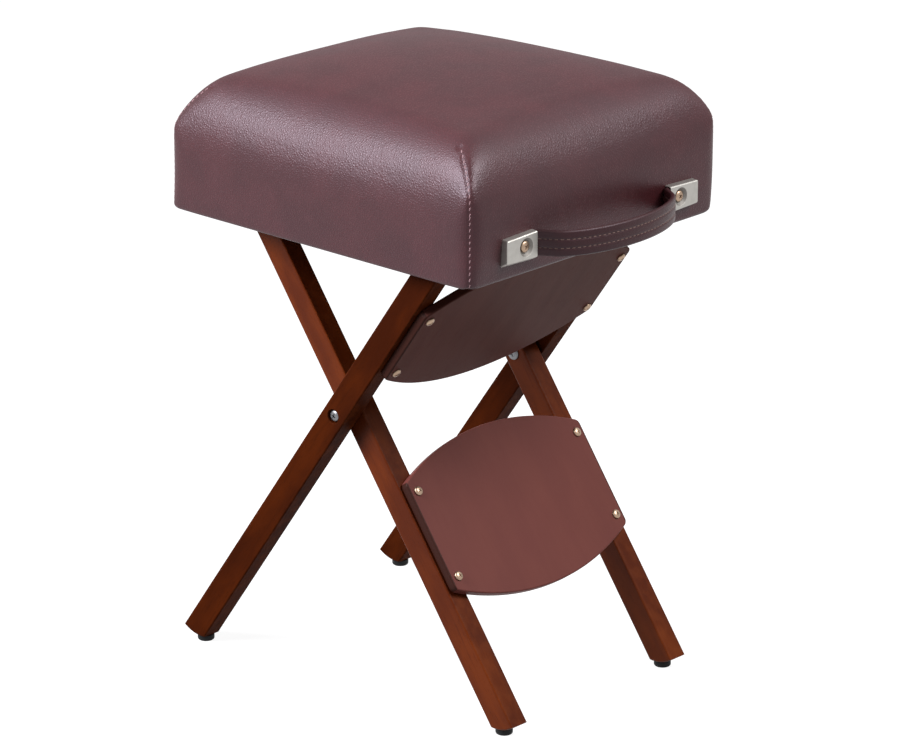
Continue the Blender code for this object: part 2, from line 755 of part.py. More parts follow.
def make_cover():
    shape = pad_shape()
    ring = 1 - 2 / (PAD_CUTS + 1)
    opening = []
    for face in shape.faces:
        middle = face.calc_center_median()
        if middle.z < -0.999 and max(abs(middle.x), abs(middle.y)) < ring:
            opening.append(face)
    bmesh.ops.delete(shape, geom=opening, context="FACES")
    hem_x = SEAT_LENGTH / 2 - HEM_WIDTH
    hem_y = SEAT_WIDTH / 2 - HEM_WIDTH
    for vert in shape.verts:
        a, b, c = vert.co
        place = pad_point(a, b, c)
        if c < -0.999 and max(abs(a), abs(b)) < 0.999:
            place.x = math.copysign(min(abs(place.x), hem_x), a)
            place.y = math.copysign(min(abs(place.y), hem_y), b)
            if abs(a) > ring - 0.001:
                place.x = math.copysign(hem_x, a)
            if abs(b) > ring - 0.001:
                place.y = math.copysign(hem_y, b)
        vert.co = on_seat(*place)
    mesh = bpy.data.meshes.new("seat_cover")
    shape.to_mesh(mesh)
    shape.free()
    mesh.shade_smooth()
    cover = add_piece("seat_cover", mesh, seat, LEATHERETTE)
    skin = cover.modifiers.new("skin", "SOLIDIFY")
    skin.thickness = COVER_THICK
    skin.offset = -1
    skin.use_even_offset = True
    return cover


def make_foam():
    shape = pad_shape()
    for vert in shape.verts:
        vert.co = pad_point(*vert.co)
    shape.normal_update()
    inset = COVER_THICK + SEAT_GAP
    moves = {vert: vert.normal * inset * vert.calc_shell_factor() for vert in shape.verts}
    for vert, move in moves.items():
        vert.co -= move
    everything = shape.verts[:] + shape.edges[:] + shape.faces[:]
    bmesh.ops.bisect_plane(
        shape, geom=everything, plane_co=(0, 0, FOAM_LOW), plane_no=(0, 0, 1), clear_inner=True
    )
    rim = [edge for edge in shape.edges if edge.is_boundary]
    bmesh.ops.edgenet_fill(shape, edges=rim)
    bmesh.ops.recalc_face_normals(shape, faces=shape.faces)
    for vert in shape.verts:
        vert.co = on_seat(*vert.co)
    mesh = bpy.data.meshes.new("seat_foam")
    shape.to_mesh(mesh)
    shape.free()
    mesh.shade_smooth()
    return add_piece("seat_foam", mesh, seat, FOAM)


make_cover()
make_foam()

# Wooden box under the foam
core_x = SEAT_LENGTH / 2 - CORE_INSET
core_y = SEAT_WIDTH / 2 - CORE_INSET
core_corner = SEAT_CORNER


def core_outline():
    corners = [(core_x, core_y), (-core_x, core_y), (-core_x, -core_y), (core_x, -core_y)]
    outline = []
    for index, corner in enumerate(corners):
        before = corners[index - 1]
        after = corners[(index + 1) % 4]
        outline += rounded_corner(before, corner, after, core_corner)
    return outline


board = add_piece(
    "seat_board",
    flat_mesh("seat_board", core_outline(), BOARD_THICK, LAY_XY),
    seat,
    WOOD_PALE,
    on_seat(0, 0, BOARD_LOW + BOARD_THICK / 2),
)


def end_rail_outline(end):
    outer = end * core_x
    inner = end * (core_x - END_RAIL_THICK)
    corners = [(inner, -core_y), (outer, -core_y), (outer, core_y), (inner, core_y)]
    outline = [corners[0]]
    outline += rounded_corner(corners[0], corners[1], corners[2], core_corner)
    outline += rounded_corner(corners[1], corners[2], corners[3], core_corner)
    outline.append(corners[3])
    return outline


rail_middle = RAIL_LOW + RAIL_HEIGHT / 2
end_rails = {}
for name, end in {"handle_rail": 1, "back_rail": -1}.items():
    mesh = flat_mesh(name, end_rail_outline(end), RAIL_HEIGHT, LAY_XY)
    end_rails[name] = add_piece(name, mesh, seat, WOOD_PALE, on_seat(0, 0, rail_middle))
    soften(end_rails[name], RAIL_EDGE, 1)

side_rail_length = 2 * (core_x - END_RAIL_THICK - SEAT_GAP)
side_rail_y = core_y - SIDE_RAIL_THICK / 2
for name, side in SIDES.items():
    rail = add_piece(
        "side_rail_" + name,
        box_mesh("side_rail_" + name, (side_rail_length, SIDE_RAIL_THICK, RAIL_HEIGHT)),
        seat,
        WOOD_PALE,
        on_seat(0, side * side_rail_y, rail_middle),
    )
    soften(rail, RAIL_EDGE, 1)
    bore(rail, seat, [
        ((0, side * SIDE_RAIL_FACE, 0), (0, side, 0), BOLT_HOLE, HINGE_BOLT_GRIP + SEAT_GAP),
    ])

    # Hinge bolts: the head lies in the leg, the shank turns in it and grips the side rail.
    head_seat = OUTER_LEG_FACE - LEG_THICK + COUNTERBORE_DEPTH - SEAT_GAP
    tip = SIDE_RAIL_FACE + HINGE_BOLT_GRIP - head_seat
    turned(
        "hinge_bolt_" + name,
        domed_head(BOLT_HEAD_RADIUS, BOLT_HEAD_HEIGHT)
        + [(BOLT_RADIUS, 0), (BOLT_RADIUS, -tip), (0, -tip)],
        seat,
        STEEL,
        (0, side * head_seat, 0),
        facing(-side),
    )
    turned(
        "hinge_washer_" + name,
        washer_profile(BOLT_HOLE, HINGE_WASHER_THICK),
        seat,
        STEEL,
        (0, side * (OUTER_LEG_FACE + SEAT_GAP), 0),
        facing(side),
    )


# Runners: the top rail slides along them and stops against the lip at their far end
def runner_outline():
    # In the hinge's frame: the top rail's centre lies level with the hinge, at the stop.
    stop_x = -2 * HINGE_REACH
    cove = TOP_RAIL_RADIUS + SEAT_GAP
    top = BOARD_LOW - SEAT_GAP - HINGE_RISE
    back = stop_x - cove - RUNNER_STOP
    outline = [(-RUNNER_HINGE_CLEARANCE, cove), (-RUNNER_HINGE_CLEARANCE, top), (back, top)]
    outline += [(back, -RUNNER_LIP), (stop_x - cove, -RUNNER_LIP)]
    outline += arc((stop_x, 0), cove, math.pi, math.pi / 2, END_STEPS)
    return outline


for name, side in SIDES.items():
    y = side * RUNNER_OFFSET
    mesh = flat_mesh("runner_" + name, runner_outline(), RUNNER_WIDTH, LAY_XZ)
    runner = add_piece("runner_" + name, mesh, seat, WOOD_PALE, (0, y, 0))
    low = TOP_RAIL_RADIUS + SEAT_GAP
    body = BOARD_LOW - SEAT_GAP - HINGE_RISE - low
    middle_x = -HINGE_REACH
    rows = (middle_x - RUNNER_SCREW_SPAN / 2, middle_x + RUNNER_SCREW_SPAN / 2)
    head_depth = SCREW_HEAD_HEIGHT + SEAT_GAP + HEAD_RECESS
    head_seat = low + head_depth - SEAT_GAP
    tip = body - head_depth + 2 * SEAT_GAP + RUNNER_SCREW_BITE
    bore(runner, seat, [
        ((x, y, low), (0, 0, 1), SCREW_HEAD_RADIUS + COUNTERBORE_MARGIN, head_depth) for x in rows
    ])
    shank_hole = SCREW_RADIUS + RUNNING_GAP
    bore(runner, seat, [((x, y, low), (0, 0, 1), shank_hole, body * 1.5) for x in rows])
    bore(board, seat, [
        ((x, y, BOARD_LOW - HINGE_RISE), (0, 0, 1), shank_hole, RUNNER_SCREW_BITE + SEAT_GAP)
        for x in rows
    ])
    for x in rows:
        number = 2 * list(SIDES).index(name) + rows.index(x) + 1
        turned(
            f"runner_screw_{number}",
            domed_head(SCREW_HEAD_RADIUS, SCREW_HEAD_HEIGHT)
            + [(SCREW_RADIUS, 0), (SCREW_RADIUS, SCREW_RADIUS - tip), (0, -tip)],
            seat,
            STEEL,
            (x, y, head_seat),
            (math.pi, 0, 0),
            SMALL_STEPS,
        )

# Handle: a strap between two caps on the end face
face_x = SEAT_LENGTH / 2
strap_back = SEAT_GAP
cap_middle_y = HANDLE_HOLE_PITCH / 2 + CAP_HOLE_SETBACK - CAP_LENGTH / 2
mouth_y = cap_middle_y - CAP_LENGTH / 2


def strap_rise(y):
    # Half-sine bow between the caps' mouths, measured from the middle of the handle.
    part = min(abs(y) / mouth_y, 1.0)
    bow = HANDLE_REACH - strap_back - STRAP_THICK
    return bow * math.cos(part * math.pi / 2)


def strap_outline():
    # The bow is averaged over a short length, so that the strap bends where it enters the caps.
    end = HANDLE_HOLE_PITCH / 2 + STRAP_TAIL
    count = 60
    middle = []
    for step in range(count + 1):
        y = -end + 2 * end * step / count
        near = np.linspace(y - STRAP_BEND, y + STRAP_BEND, 15)
        rise = float(np.mean([strap_rise(place) for place in near]))
        middle.append(Vector((strap_back + STRAP_THICK / 2 + rise, y)))
    inner = []
    outer = []
    for index, point in enumerate(middle):
        ahead = middle[min(index + 1, count)]
        behind = middle[max(index - 1, 0)]
        along = (ahead - behind).normalized()
        across = Vector((along.y, -along.x)) * STRAP_THICK / 2
        outer.append(tuple(point + across))
        inner.append(tuple(point - across))
    return outer + inner[::-1]


handle_place = on_seat(face_x, HANDLE_OFFSET, HANDLE_RISE)
strap = add_piece(
    "handle_strap",
    flat_mesh("handle_strap", strap_outline(), STRAP_WIDTH, LAY_XY),
    seat,
    LEATHERETTE,
    handle_place,
)
soften(strap, STRAP_EDGE, 1)

# The strap's tails are narrower, to go into the caps.
shape = bmesh.new()
tail_reach = HANDLE_HOLE_PITCH / 2 + 2 * STRAP_TAIL
for side in SIDES.values():
    for up in (-1, 1):
        size = (4 * STRAP_THICK, tail_reach - mouth_y, STRAP_WIDTH)
        place = (
            STRAP_THICK / 2,
            side * (tail_reach + mouth_y) / 2,
            up * (STRAP_TAIL_WIDTH + STRAP_WIDTH) / 2,
        )
        turn = Matrix.Translation(place) @ Matrix.Diagonal((*size, 1))
        bmesh.ops.create_cube(shape, size=1.0, matrix=turn)
mesh = bpy.data.meshes.new("handle_strap_trim")
shape.to_mesh(mesh)
shape.free()
combine(strap, add_cutter("handle_strap_trim", mesh, seat, handle_place), "DIFFERENCE")


def cap_mesh(name, side, wall=0.0, overrun=0.0):
    # A pressed box, lower at its outer end and flared at its base. With a wall and an overrun it is
    # the hollow, which runs out at the back and at the strap's end.
    mesh = box_mesh(name, (1, 1, 1))
    for vert in mesh.vertices:
        x = CAP_PROUD - wall if vert.co.x > 0 else -overrun
        from_mouth = CAP_LENGTH - wall if vert.co.y * side > 0 else -overrun
        half = (CAP_HEIGHT - CAP_TAPER * from_mouth / CAP_LENGTH) / 2
        flare = CAP_FLARE_TOP if vert.co.z > 0 else CAP_FLARE_BOTTOM
        rise = half + flare * (CAP_PROUD - x) / CAP_PROUD - wall
        vert.co = (x, side * (from_mouth - CAP_LENGTH / 2), math.copysign(rise, vert.co.z))
    return mesh


def round_cap(cap, side):
    # Rounds the pressed edges only: not the base's, and not those of the open mouth.
    weights = cap.data.attributes.new("bevel_weight_edge", "FLOAT", "EDGE")
    for edge in cap.data.edges:
        ends = [cap.data.vertices[index].co for index in edge.vertices]
        raised = sum(end.x > CAP_PROUD / 2 for end in ends)
        closed = sum(end.y * side > 0 for end in ends)
        pressed = (raised == 2 and closed > 0) or (raised == 1 and closed == 2)
        weights.data[edge.index].value = 1.0 if pressed else 0.0
    soften(cap, CAP_ROUND, 2)
    cap.modifiers["soft_edges"].limit_method = "WEIGHT"


dish_back = CAP_PROUD - DISH_DEPTH - CAP_WALL
for name, side in SIDES.items():
    hole_y = side * HANDLE_HOLE_PITCH / 2
    middle = handle_place + Vector((SEAT_GAP, side * cap_middle_y, 0))
    hole = handle_place + Vector((SEAT_GAP, hole_y, 0))
    point_out = (0, math.pi / 2, 0)

    cap = add_piece("handle_cap_" + name, cap_mesh("handle_cap_" + name, side), seat, NICKEL, middle)
    round_cap(cap, side)
    mesh = cap_mesh(cap.name + "_hollow", side, CAP_WALL, CAP_WALL)
    hollow = add_cutter(cap.name + "_hollow", mesh, seat, middle)
    combine(cap, hollow, "DIFFERENCE")
    cup = turned_cutter(
        cap.name + "_cup",
        [
            (0, CAP_PROUD - CAP_WALL / 2),
            (DISH_RADIUS + CAP_WALL / 2, CAP_PROUD - CAP_WALL / 2),
            (DISH_FLOOR_RADIUS + CAP_WALL, dish_back),
            (0, dish_back),
        ],
        seat,
        hole,
        point_out,
    )
    combine(cap, cup, "UNION")
    dish = turned_cutter(
        cap.name + "_dish",
        [
            (0, CAP_PROUD + CAP_WALL),
            (DISH_RADIUS, CAP_PROUD + CAP_WALL),
            (DISH_RADIUS, CAP_PROUD),
            (DISH_FLOOR_RADIUS, dish_back + CAP_WALL),
            (0, dish_back + CAP_WALL),
        ],
        seat,
        hole,
        point_out,
    )
    combine(cap, dish, "DIFFERENCE")
    shank_hole = SCREW_RADIUS + RUNNING_GAP
    floor = hole + Vector((dish_back + CAP_WALL, 0, 0))
    bore(cap, seat, [(floor, (-1, 0, 0), shank_hole, CAP_WALL * 2)])
    bore(strap, seat, [(hole + Vector((dish_back, 0, 0)), (-1, 0, 0), shank_hole, dish_back * 1.5)])
    surface = handle_place + Vector((0, hole_y, 0))
    cover_hole = (surface, (-1, 0, 0), shank_hole, COVER_THICK * 1.5)
    bore(bpy.data.objects["seat_cover"], seat, [cover_hole])
    rail_face = surface - Vector((CORE_INSET, 0, 0))
    bore(end_rails["handle_rail"], seat, [
        (rail_face, (-1, 0, 0), shank_hole, HANDLE_SCREW_BITE + SEAT_GAP),
    ])
    tip = dish_back + CAP_WALL + 2 * SEAT_GAP + CORE_INSET + HANDLE_SCREW_BITE
    turned(
        "handle_screw_" + name,
        domed_head(HANDLE_SCREW_HEAD, HANDLE_SCREW_HEIGHT)
        + [(SCREW_RADIUS, 0), (SCREW_RADIUS, SCREW_RADIUS - tip), (0, -tip)],
        seat,
        BRASSY,
        hole + Vector((dish_back + CAP_WALL + SEAT_GAP, 0, 0)),
        point_out,
        SMALL_STEPS,
    )
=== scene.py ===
import json
import math

import bmesh
import bpy
import numpy as np
from mathutils import Matrix, Vector
from mathutils.bvhtree import BVHTree


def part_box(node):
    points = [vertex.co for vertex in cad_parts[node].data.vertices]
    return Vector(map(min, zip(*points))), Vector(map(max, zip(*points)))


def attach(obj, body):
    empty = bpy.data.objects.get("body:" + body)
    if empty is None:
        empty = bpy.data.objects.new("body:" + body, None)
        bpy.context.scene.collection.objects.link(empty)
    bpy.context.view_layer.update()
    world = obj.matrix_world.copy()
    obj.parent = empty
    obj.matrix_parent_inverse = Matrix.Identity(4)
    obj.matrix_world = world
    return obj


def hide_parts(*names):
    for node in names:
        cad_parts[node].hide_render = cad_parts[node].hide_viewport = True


# Folding stool with a padded leatherette seat, in metres, handle on +X, feet on the floor.
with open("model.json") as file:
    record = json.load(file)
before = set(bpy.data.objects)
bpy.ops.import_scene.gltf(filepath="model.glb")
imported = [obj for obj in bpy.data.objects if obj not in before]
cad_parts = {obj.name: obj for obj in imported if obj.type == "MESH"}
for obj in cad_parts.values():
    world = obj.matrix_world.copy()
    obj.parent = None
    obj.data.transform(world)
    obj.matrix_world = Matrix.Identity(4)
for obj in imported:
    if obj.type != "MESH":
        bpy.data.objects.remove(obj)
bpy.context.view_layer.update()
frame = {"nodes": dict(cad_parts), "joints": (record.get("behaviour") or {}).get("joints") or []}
nodes = frame["nodes"]
joints = {joint["name"]: joint for joint in frame["joints"]}
pivot = Vector(joints["leg_pivot"]["pos_m"])
hinge = Vector(joints["seat_hinge"]["pos_m"])
armUp = (hinge - pivot).length  # pivot to hinge along a leg
lean = math.atan2(hinge.x - pivot.x, hinge.z - pivot.z)
frames = {
    "outer": Matrix.Translation(pivot) @ Matrix.Rotation(lean, 4, "Y"),
    "inner": Matrix.Translation(pivot) @ Matrix.Rotation(-lean, 4, "Y"),
}
sides = {"left": -1, "right": 1}
fitGap = 0.0003  # as in the solids
print("frame loaded,", len(nodes), "nodes")


# Camera, at the photograph's place
camera = {"place": (3.0857, -3.3441, 1.8573), "lens": 196.37, "tilt": 71.041, "turn": 42.790, "roll": -0.045}
bpy.ops.object.camera_add(location=camera["place"])
eye = bpy.context.object
eye.rotation_euler = [math.radians(camera[key]) for key in ("tilt", "roll", "turn")]
eye.data.lens = camera["lens"]
eye.data.sensor_width = 36.0
eye.data.sensor_fit = "HORIZONTAL"
eye.data.clip_end = 60.0
bpy.context.scene.camera = eye
bpy.context.scene.view_settings.view_transform = "Standard"
print("camera set")


# Shader maths
class Wire:
    # one output socket, so that sums on values can be written out
    def __init__(self, finish, socket):
        self.finish = finish
        self.socket = socket

    def join(self, operation, first, second):
        return self.finish.node("ShaderNodeMath", {"operation": operation}, {0: first, 1: second})

    def __add__(self, other):
        return self.join("ADD", self, other)

    def __radd__(self, other):
        return self.join("ADD", other, self)

    def __sub__(self, other):
        return self.join("SUBTRACT", self, other)

    def __rsub__(self, other):
        return self.join("SUBTRACT", other, self)

    def __mul__(self, other):
        return self.join("MULTIPLY", self, other)

    def __rmul__(self, other):
        return self.join("MULTIPLY", other, self)

    def __abs__(self):
        return self.join("ABSOLUTE", self, 0.0)


class Finish:
    # a material, its node tree and its Principled shader
    def __init__(self, name):
        self.material = bpy.data.materials.new(name)
        self.material.use_nodes = True
        self.tree = self.material.node_tree
        self.shader = self.tree.nodes["Principled BSDF"]

    def node(self, kind, settings, sockets, output=0):
        made = self.tree.nodes.new(kind)
        for key, value in settings.items():
            setattr(made, key, value)
        for key, value in sockets.items():
            self.plug(made.inputs[key], value)
        return Wire(self, made.outputs[output])

    def plug(self, socket, value):
        if isinstance(value, Wire):
            self.tree.links.new(value.socket, socket)
        else:
            socket.default_value = value

    def set(self, **inputs):
        for key, value in inputs.items():
            self.plug(self.shader.inputs[key.replace("_", " ")], value)

    def place(self, origin=(0, 0, 0), turn=(0, 0, 0), stretch=(1, 1, 1)):
        # the piece's own coordinates, moved and turned to a frame, then stretched
        point = self.node("ShaderNodeTexCoord", {}, {}, "Object")
        sockets = {"Vector": point, "Location": origin, "Rotation": turn, "Scale": stretch}
        return self.node("ShaderNodeMapping", {"vector_type": "TEXTURE"}, sockets)

    def along(self, where, axis):
        return self.node("ShaderNodeSeparateXYZ", {}, {"Vector": where}, axis)

    def noise(self, where, scale, detail=3.0, roughness=0.5):
        sockets = {"Vector": where, "Scale": scale, "Detail": detail, "Roughness": roughness}
        return self.node("ShaderNodeTexNoise", {}, sockets, "Fac")

    def band(self, value, low, high):
        # 0 below low, 1 above high, eased between
        settings = {"interpolation_type": "SMOOTHSTEP", "clamp": True}
        return self.node("ShaderNodeMapRange", settings, {"Value": value, 1: low, 2: high})

    def mix(self, share, first, second):
        return self.node("ShaderNodeMix", {"data_type": "RGBA"}, {0: share, 6: first, 7: second}, 2)

    def bump(self, height, strength, distance):
        return self.node("ShaderNodeBump", {}, {"Height": height, "Strength": strength, "Distance": distance})

    def seen(self):
        # 1 where the camera, a reflection or clear material looks, 0 for plain light
        rays = ("Is Camera Ray", "Is Glossy Ray", "Is Transmission Ray")
        eyes, gloss, clear = [self.node("ShaderNodeLightPath", {}, {}, ray) for ray in rays]
        return self.node("ShaderNodeClamp", {}, {"Value": eyes + gloss + clear})


class Sky(Finish):
    # the world's own node tree
    def __init__(self, world):
        world.use_nodes = True
        self.tree = world.node_tree


def tone(red, green, blue):
    # screen colour, 0 to 255, as linear light
    def linear(part):
        part /= 255
        return part / 12.92 if part <= 0.04045 else ((part + 0.055) / 1.055) ** 2.4

    return (linear(red), linear(green), linear(blue), 1.0)


# Finishes
def stainedWood(name, origin, turn, look):
    # grain runs along the frame's own Z; stain gathers in streaks and wears thin on edges
    coat = Finish(name)
    local = coat.place(origin, turn)
    long = coat.place(origin, turn, (1, 1, 14))
    cloud = coat.noise(coat.place(origin, turn, (1, 1, 3)), 34)
    streak = coat.noise(long, 260, 4.0, 0.6)
    pore = coat.noise(coat.place(origin, turn, (1, 1, 9)), 1300, 2.0)
    ring = coat.noise(long, 60, 2.0)
    body = coat.mix(coat.band(cloud, 0.34, 0.66), look["dark"], look["light"])
    body = coat.mix(coat.band(streak, 0.52, 0.74) * 0.38 * look["grain"], body, look["streak"])
    body = coat.mix(coat.band(ring, 0.55, 0.72) * 0.22 * look["grain"], body, look["dark"])
    pores = coat.band(pore, 0.60, 0.72)
    body = coat.mix(pores * 0.35 * look["grain"], body, look["pore"])
    if "half" in look:  # a leg: stain rubbed off along the arrises
        depth = coat.band(abs(coat.along(local, "X")), look["half"] - 0.0022, look["half"] + 0.0002)
        worn = depth * coat.band(coat.noise(local, 90), 0.35, 0.75)
        body = coat.mix(worn * 0.30, body, look["worn"])
    if "ends" in look:  # a plate: end grain darker, partly from the stain it takes up and partly painted shade
        grain = coat.band(abs(coat.along(local, "Y")), look["ends"] - 0.0028, look["ends"] - 0.0014)
        body = coat.mix(grain, body, look["endStainAndShade"])
    rough = look["rough"] + streak * 0.10 + pores * 0.12
    relief = coat.bump(streak * 0.5 + pore * 0.6, 0.10, 0.0004)
    coat.set(Base_Color=body, Roughness=rough, Normal=relief, Specular_IOR_Level=look["shine"])
    return coat.material


legLook = {
    "dark": tone(76, 27, 5), "light": tone(98, 40, 8), "streak": tone(62, 20, 4), "pore": tone(47, 14, 3),
    "worn": tone(116, 56, 24), "half": 0.0135, "rough": 0.30, "shine": 0.08, "grain": 1.0,
}
# a darker copy of the leg stain for the outer legs: partly a darker tone of wood, partly painted shade
darkerWoodAndShadeLook = dict(
    legLook, shine=0.02, rough=0.55, dark=tone(52, 17, 3), light=tone(68, 25, 4), streak=tone(42, 13, 2),
    pore=tone(34, 10, 2),
)
plateLook = {
    "dark": tone(99, 52, 47), "light": tone(103, 55, 49), "streak": tone(94, 48, 43),
    # the plates' end tone is partly stain and partly painted shade
    "pore": tone(84, 42, 37), "rough": 0.45, "shine": 0.12, "grain": 0.3, "endStainAndShade": tone(44, 16, 8),
}
# a darker copy of the plate finish for the upper plate, which faces down: painted shade
paintedShadePlateLook = dict(plateLook, dark=tone(80, 44, 38), light=tone(88, 50, 44), shine=0.1, rough=0.55)
legTurn = (0, lean, 0)
innerTurn = (0, -lean, 0)
outerLegWood = stainedWood("outer_leg_stain", pivot, legTurn, darkerWoodAndShadeLook)
innerLegWood = stainedWood("inner_leg_stain", pivot, innerTurn, legLook)
upperEnds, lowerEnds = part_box("upper_plate")[1].y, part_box("lower_plate")[1].y
upperPlateWood = stainedWood("upper_plate_stain", pivot, legTurn, dict(paintedShadePlateLook, ends=upperEnds))
lowerPlateWood = stainedWood("lower_plate_stain", pivot, innerTurn, dict(plateLook, ends=lowerEnds))
railWood = stainedWood("top_rail_stain", pivot, (math.pi / 2, 0, 0), dict(legLook, half=1.0))


def bareWood(name, turn, look):
    # pale pine or plywood: soft rings along the grain, a few darker lines
    coat = Finish(name)
    long = coat.place(turn=turn, stretch=(1, 1, 12))
    ring = coat.noise(long, 120, 4.0, 0.6)
    fine = coat.noise(long, 900, 2.0)
    body = coat.mix(coat.band(ring, 0.38, 0.66), look["pale"], look["dark"])
    body = coat.mix(coat.band(fine, 0.55, 0.75) * 0.3, body, look["line"])
    coat.set(Base_Color=body, Roughness=0.62 + fine * 0.2, Specular_IOR_Level=0.3)
    coat.set(Normal=coat.bump(fine + ring * 0.5, 0.25, 0.0004))
    return coat.material


pineLook = {"pale": tone(205, 172, 124), "dark": tone(176, 136, 86), "line": tone(140, 100, 60)}
acrossPine = bareWood("pine_across", (math.pi / 2, 0, 0), pineLook)
alongPine = bareWood("pine_along", (0, math.pi / 2, 0), pineLook)
plyLook = {"pale": tone(196, 164, 118), "dark": tone(172, 134, 88), "line": tone(128, 92, 58)}
plyBoard = bareWood("plywood", (0, math.pi / 2, 0), plyLook)


def pebbledLeatherette(name, look):
    # pressed pebble grain with fine creases between, a soft sheen and slight rubbing
    coat = Finish(name)
    point = coat.place()
    drift = coat.node("ShaderNodeTexNoise", {}, {"Vector": point, "Scale": 160.0, "Detail": 2.0}, "Color")
    shift = coat.node("ShaderNodeVectorMath", {"operation": "SCALE"}, {0: drift, "Scale": look["drift"]})
    bent = coat.node("ShaderNodeVectorMath", {"operation": "ADD"}, {0: point, 1: shift})
    edge = {"feature": "DISTANCE_TO_EDGE"}
    cell, small = [
        coat.node("ShaderNodeTexVoronoi", edge, {"Vector": bent, "Scale": scale}, "Distance")
        for scale in (look["cells"], look["cells"] * 2.3)
    ]
    pebble = coat.band(cell, 0.0, 0.42)
    grit = coat.band(small, 0.0, 0.35)
    cloud = coat.noise(point, 22)
    swell = coat.noise(point, look["cells"] * 0.45, 2.0)
    body = coat.mix(coat.band(cloud, 0.35, 0.65), look["dark"], look["light"])
    body = coat.mix((1 - pebble) * 0.45, body, look["crease"])
    body = coat.mix(coat.band(coat.noise(point, 70, 4.0), 0.56, 0.78) * 0.16, body, look["rubbed"])
    satOn = coat.band(coat.along(point, "Z"), *look["top"])
    rough = look["rough"] + (1 - pebble) * 0.08 + cloud * 0.04 + satOn * look["topWear"]
    height = pebble * 0.9 + grit * 0.12 + swell * 0.8
    coat.set(Base_Color=body, Roughness=rough, Normal=coat.bump(height, look["relief"], 0.0006))
    coat.set(Specular_IOR_Level=look["shine"], Specular_Tint=look["tint"])
    return coat.material


hideLook = {
    "dark": tone(57, 21, 24), "light": tone(65, 26, 29), "crease": tone(37, 14, 16),
    "rubbed": tone(78, 41, 45), "cells": 400.0, "drift": 0.0012, "relief": 0.28, "rough": 0.34,
    "shine": 0.39, "tint": (1.0, 0.88, 0.97, 1.0),
    "top": (0.572, 0.592), "topWear": 0.2,  # heights between which the gloss is sat off
}
seatHide = pebbledLeatherette("seat_leatherette", hideLook)
strapHide = pebbledLeatherette("strap_leatherette", dict(
    hideLook, relief=0.25, cells=640.0, shine=0.3, dark=tone(44, 15, 17), light=tone(50, 18, 20),
))


def spunThread(name, colour):
    # twisted thread: fine slanted ridges
    coat = Finish(name)
    point = coat.place()
    twist = coat.node("ShaderNodeTexWave", {"bands_direction": "DIAGONAL"}, {"Vector": point, "Scale": 420.0})
    fuzz = coat.noise(point, 2600, 2.0)
    body = coat.mix(twist * 0.4 + fuzz * 0.2, colour, [part * 0.45 for part in colour[:3]] + [1.0])
    coat.set(Base_Color=body, Roughness=0.62 + fuzz * 0.2, Normal=coat.bump(twist + fuzz * 0.4, 0.4, 0.0002))
    return coat.material


seamThread = spunThread("seam_thread", tone(158, 122, 126))
strapThread = spunThread("strap_thread", tone(116, 88, 80))


def platedMetal(name, look):
    # plated or satin metal: fine rubbed lines, cloudy roughness, grime in patches, and painted shade on the
    # wall of a dish where one is given
    coat = Finish(name)
    point = coat.place()
    rub = coat.noise(coat.place(stretch=look["rubbing"]), 900)
    cloud = coat.noise(point, 130)
    body = coat.mix(coat.band(cloud, 0.45, 0.75) * 0.35, look["bright"], look["dull"])
    rough = look["rough"] + cloud * 0.10 + rub * 0.08
    if "dish" in look:  # painted shade on the wall of a dish, one on each side of the middle
        middle, out, high = look["dish"]
        along = abs(coat.along(point, "Y") - middle) - out
        up = coat.along(point, "Z") - high
        around = along * along + up * up
        bottom, rim = look["wall"]
        wall = coat.band(around, (bottom - 0.0012) ** 2, bottom ** 2)
        wall = wall * (1 - coat.band(around, (rim - 0.0004) ** 2, (rim + 0.0003) ** 2))
        body = coat.mix(wall * 0.6, body, look["paintedDishShade"])
        rough = rough + wall * 0.22
    coat.set(Base_Color=body, Metallic=1.0, Roughness=rough, Normal=coat.bump(rub, 0.06, 0.0002))
    return coat.material


zinc = platedMetal("zinc_plate", {
    "bright": tone(118, 118, 120), "dull": tone(82, 82, 84), "rough": 0.26, "rubbing": (1, 1, 1),
})
brassy = platedMetal("brassy_plate", {
    "bright": tone(162, 139, 119), "dull": tone(116, 94, 78), "rough": 0.28, "rubbing": (1, 1, 1),
})


def glidePlastic(name):
    # black moulded plastic, scuffed grey low down where it rubs on floors
    coat = Finish(name)
    point = coat.place()
    scuff = coat.noise(coat.place(stretch=(1, 1, 0.3)), 420, 4.0)
    low = 1 - coat.band(coat.along(point, "Z"), 0.0005, 0.0035)
    body = coat.mix(coat.band(scuff, 0.5, 0.75) * low * 0.6, tone(12, 12, 13), tone(58, 56, 54))
    coat.set(Base_Color=body, Roughness=0.5 + scuff * 0.2, Specular_IOR_Level=0.2)
    coat.set(Normal=coat.bump(scuff, 0.12, 0.0003))
    return coat.material


blackPlastic = glidePlastic("glide_plastic")
print("finishes mixed,", len(bpy.data.materials), "materials")


# Modelling by hand
def takeUp(piece):
    # one piece selected and active, in object mode
    putDown()
    piece.select_set(True)
    bpy.context.view_layer.objects.active = piece


def putDown():
    if bpy.context.mode != "OBJECT":
        bpy.ops.object.mode_set(mode="OBJECT")
    bpy.ops.object.select_all(action="DESELECT")


def openUp(piece):
    takeUp(piece)
    bpy.ops.object.mode_set(mode="EDIT")


def startFrom(add, **sizes):
    # adds a primitive with nothing else selected
    putDown()
    add(**sizes)
    return bpy.context.object


def selectAll():
    bpy.ops.mesh.select_all(action="SELECT")


def faceOutward():
    selectAll()
    bpy.ops.mesh.normals_make_consistent(inside=False)


def scrap(piece):
    bpy.data.objects.remove(piece, do_unlink=True)


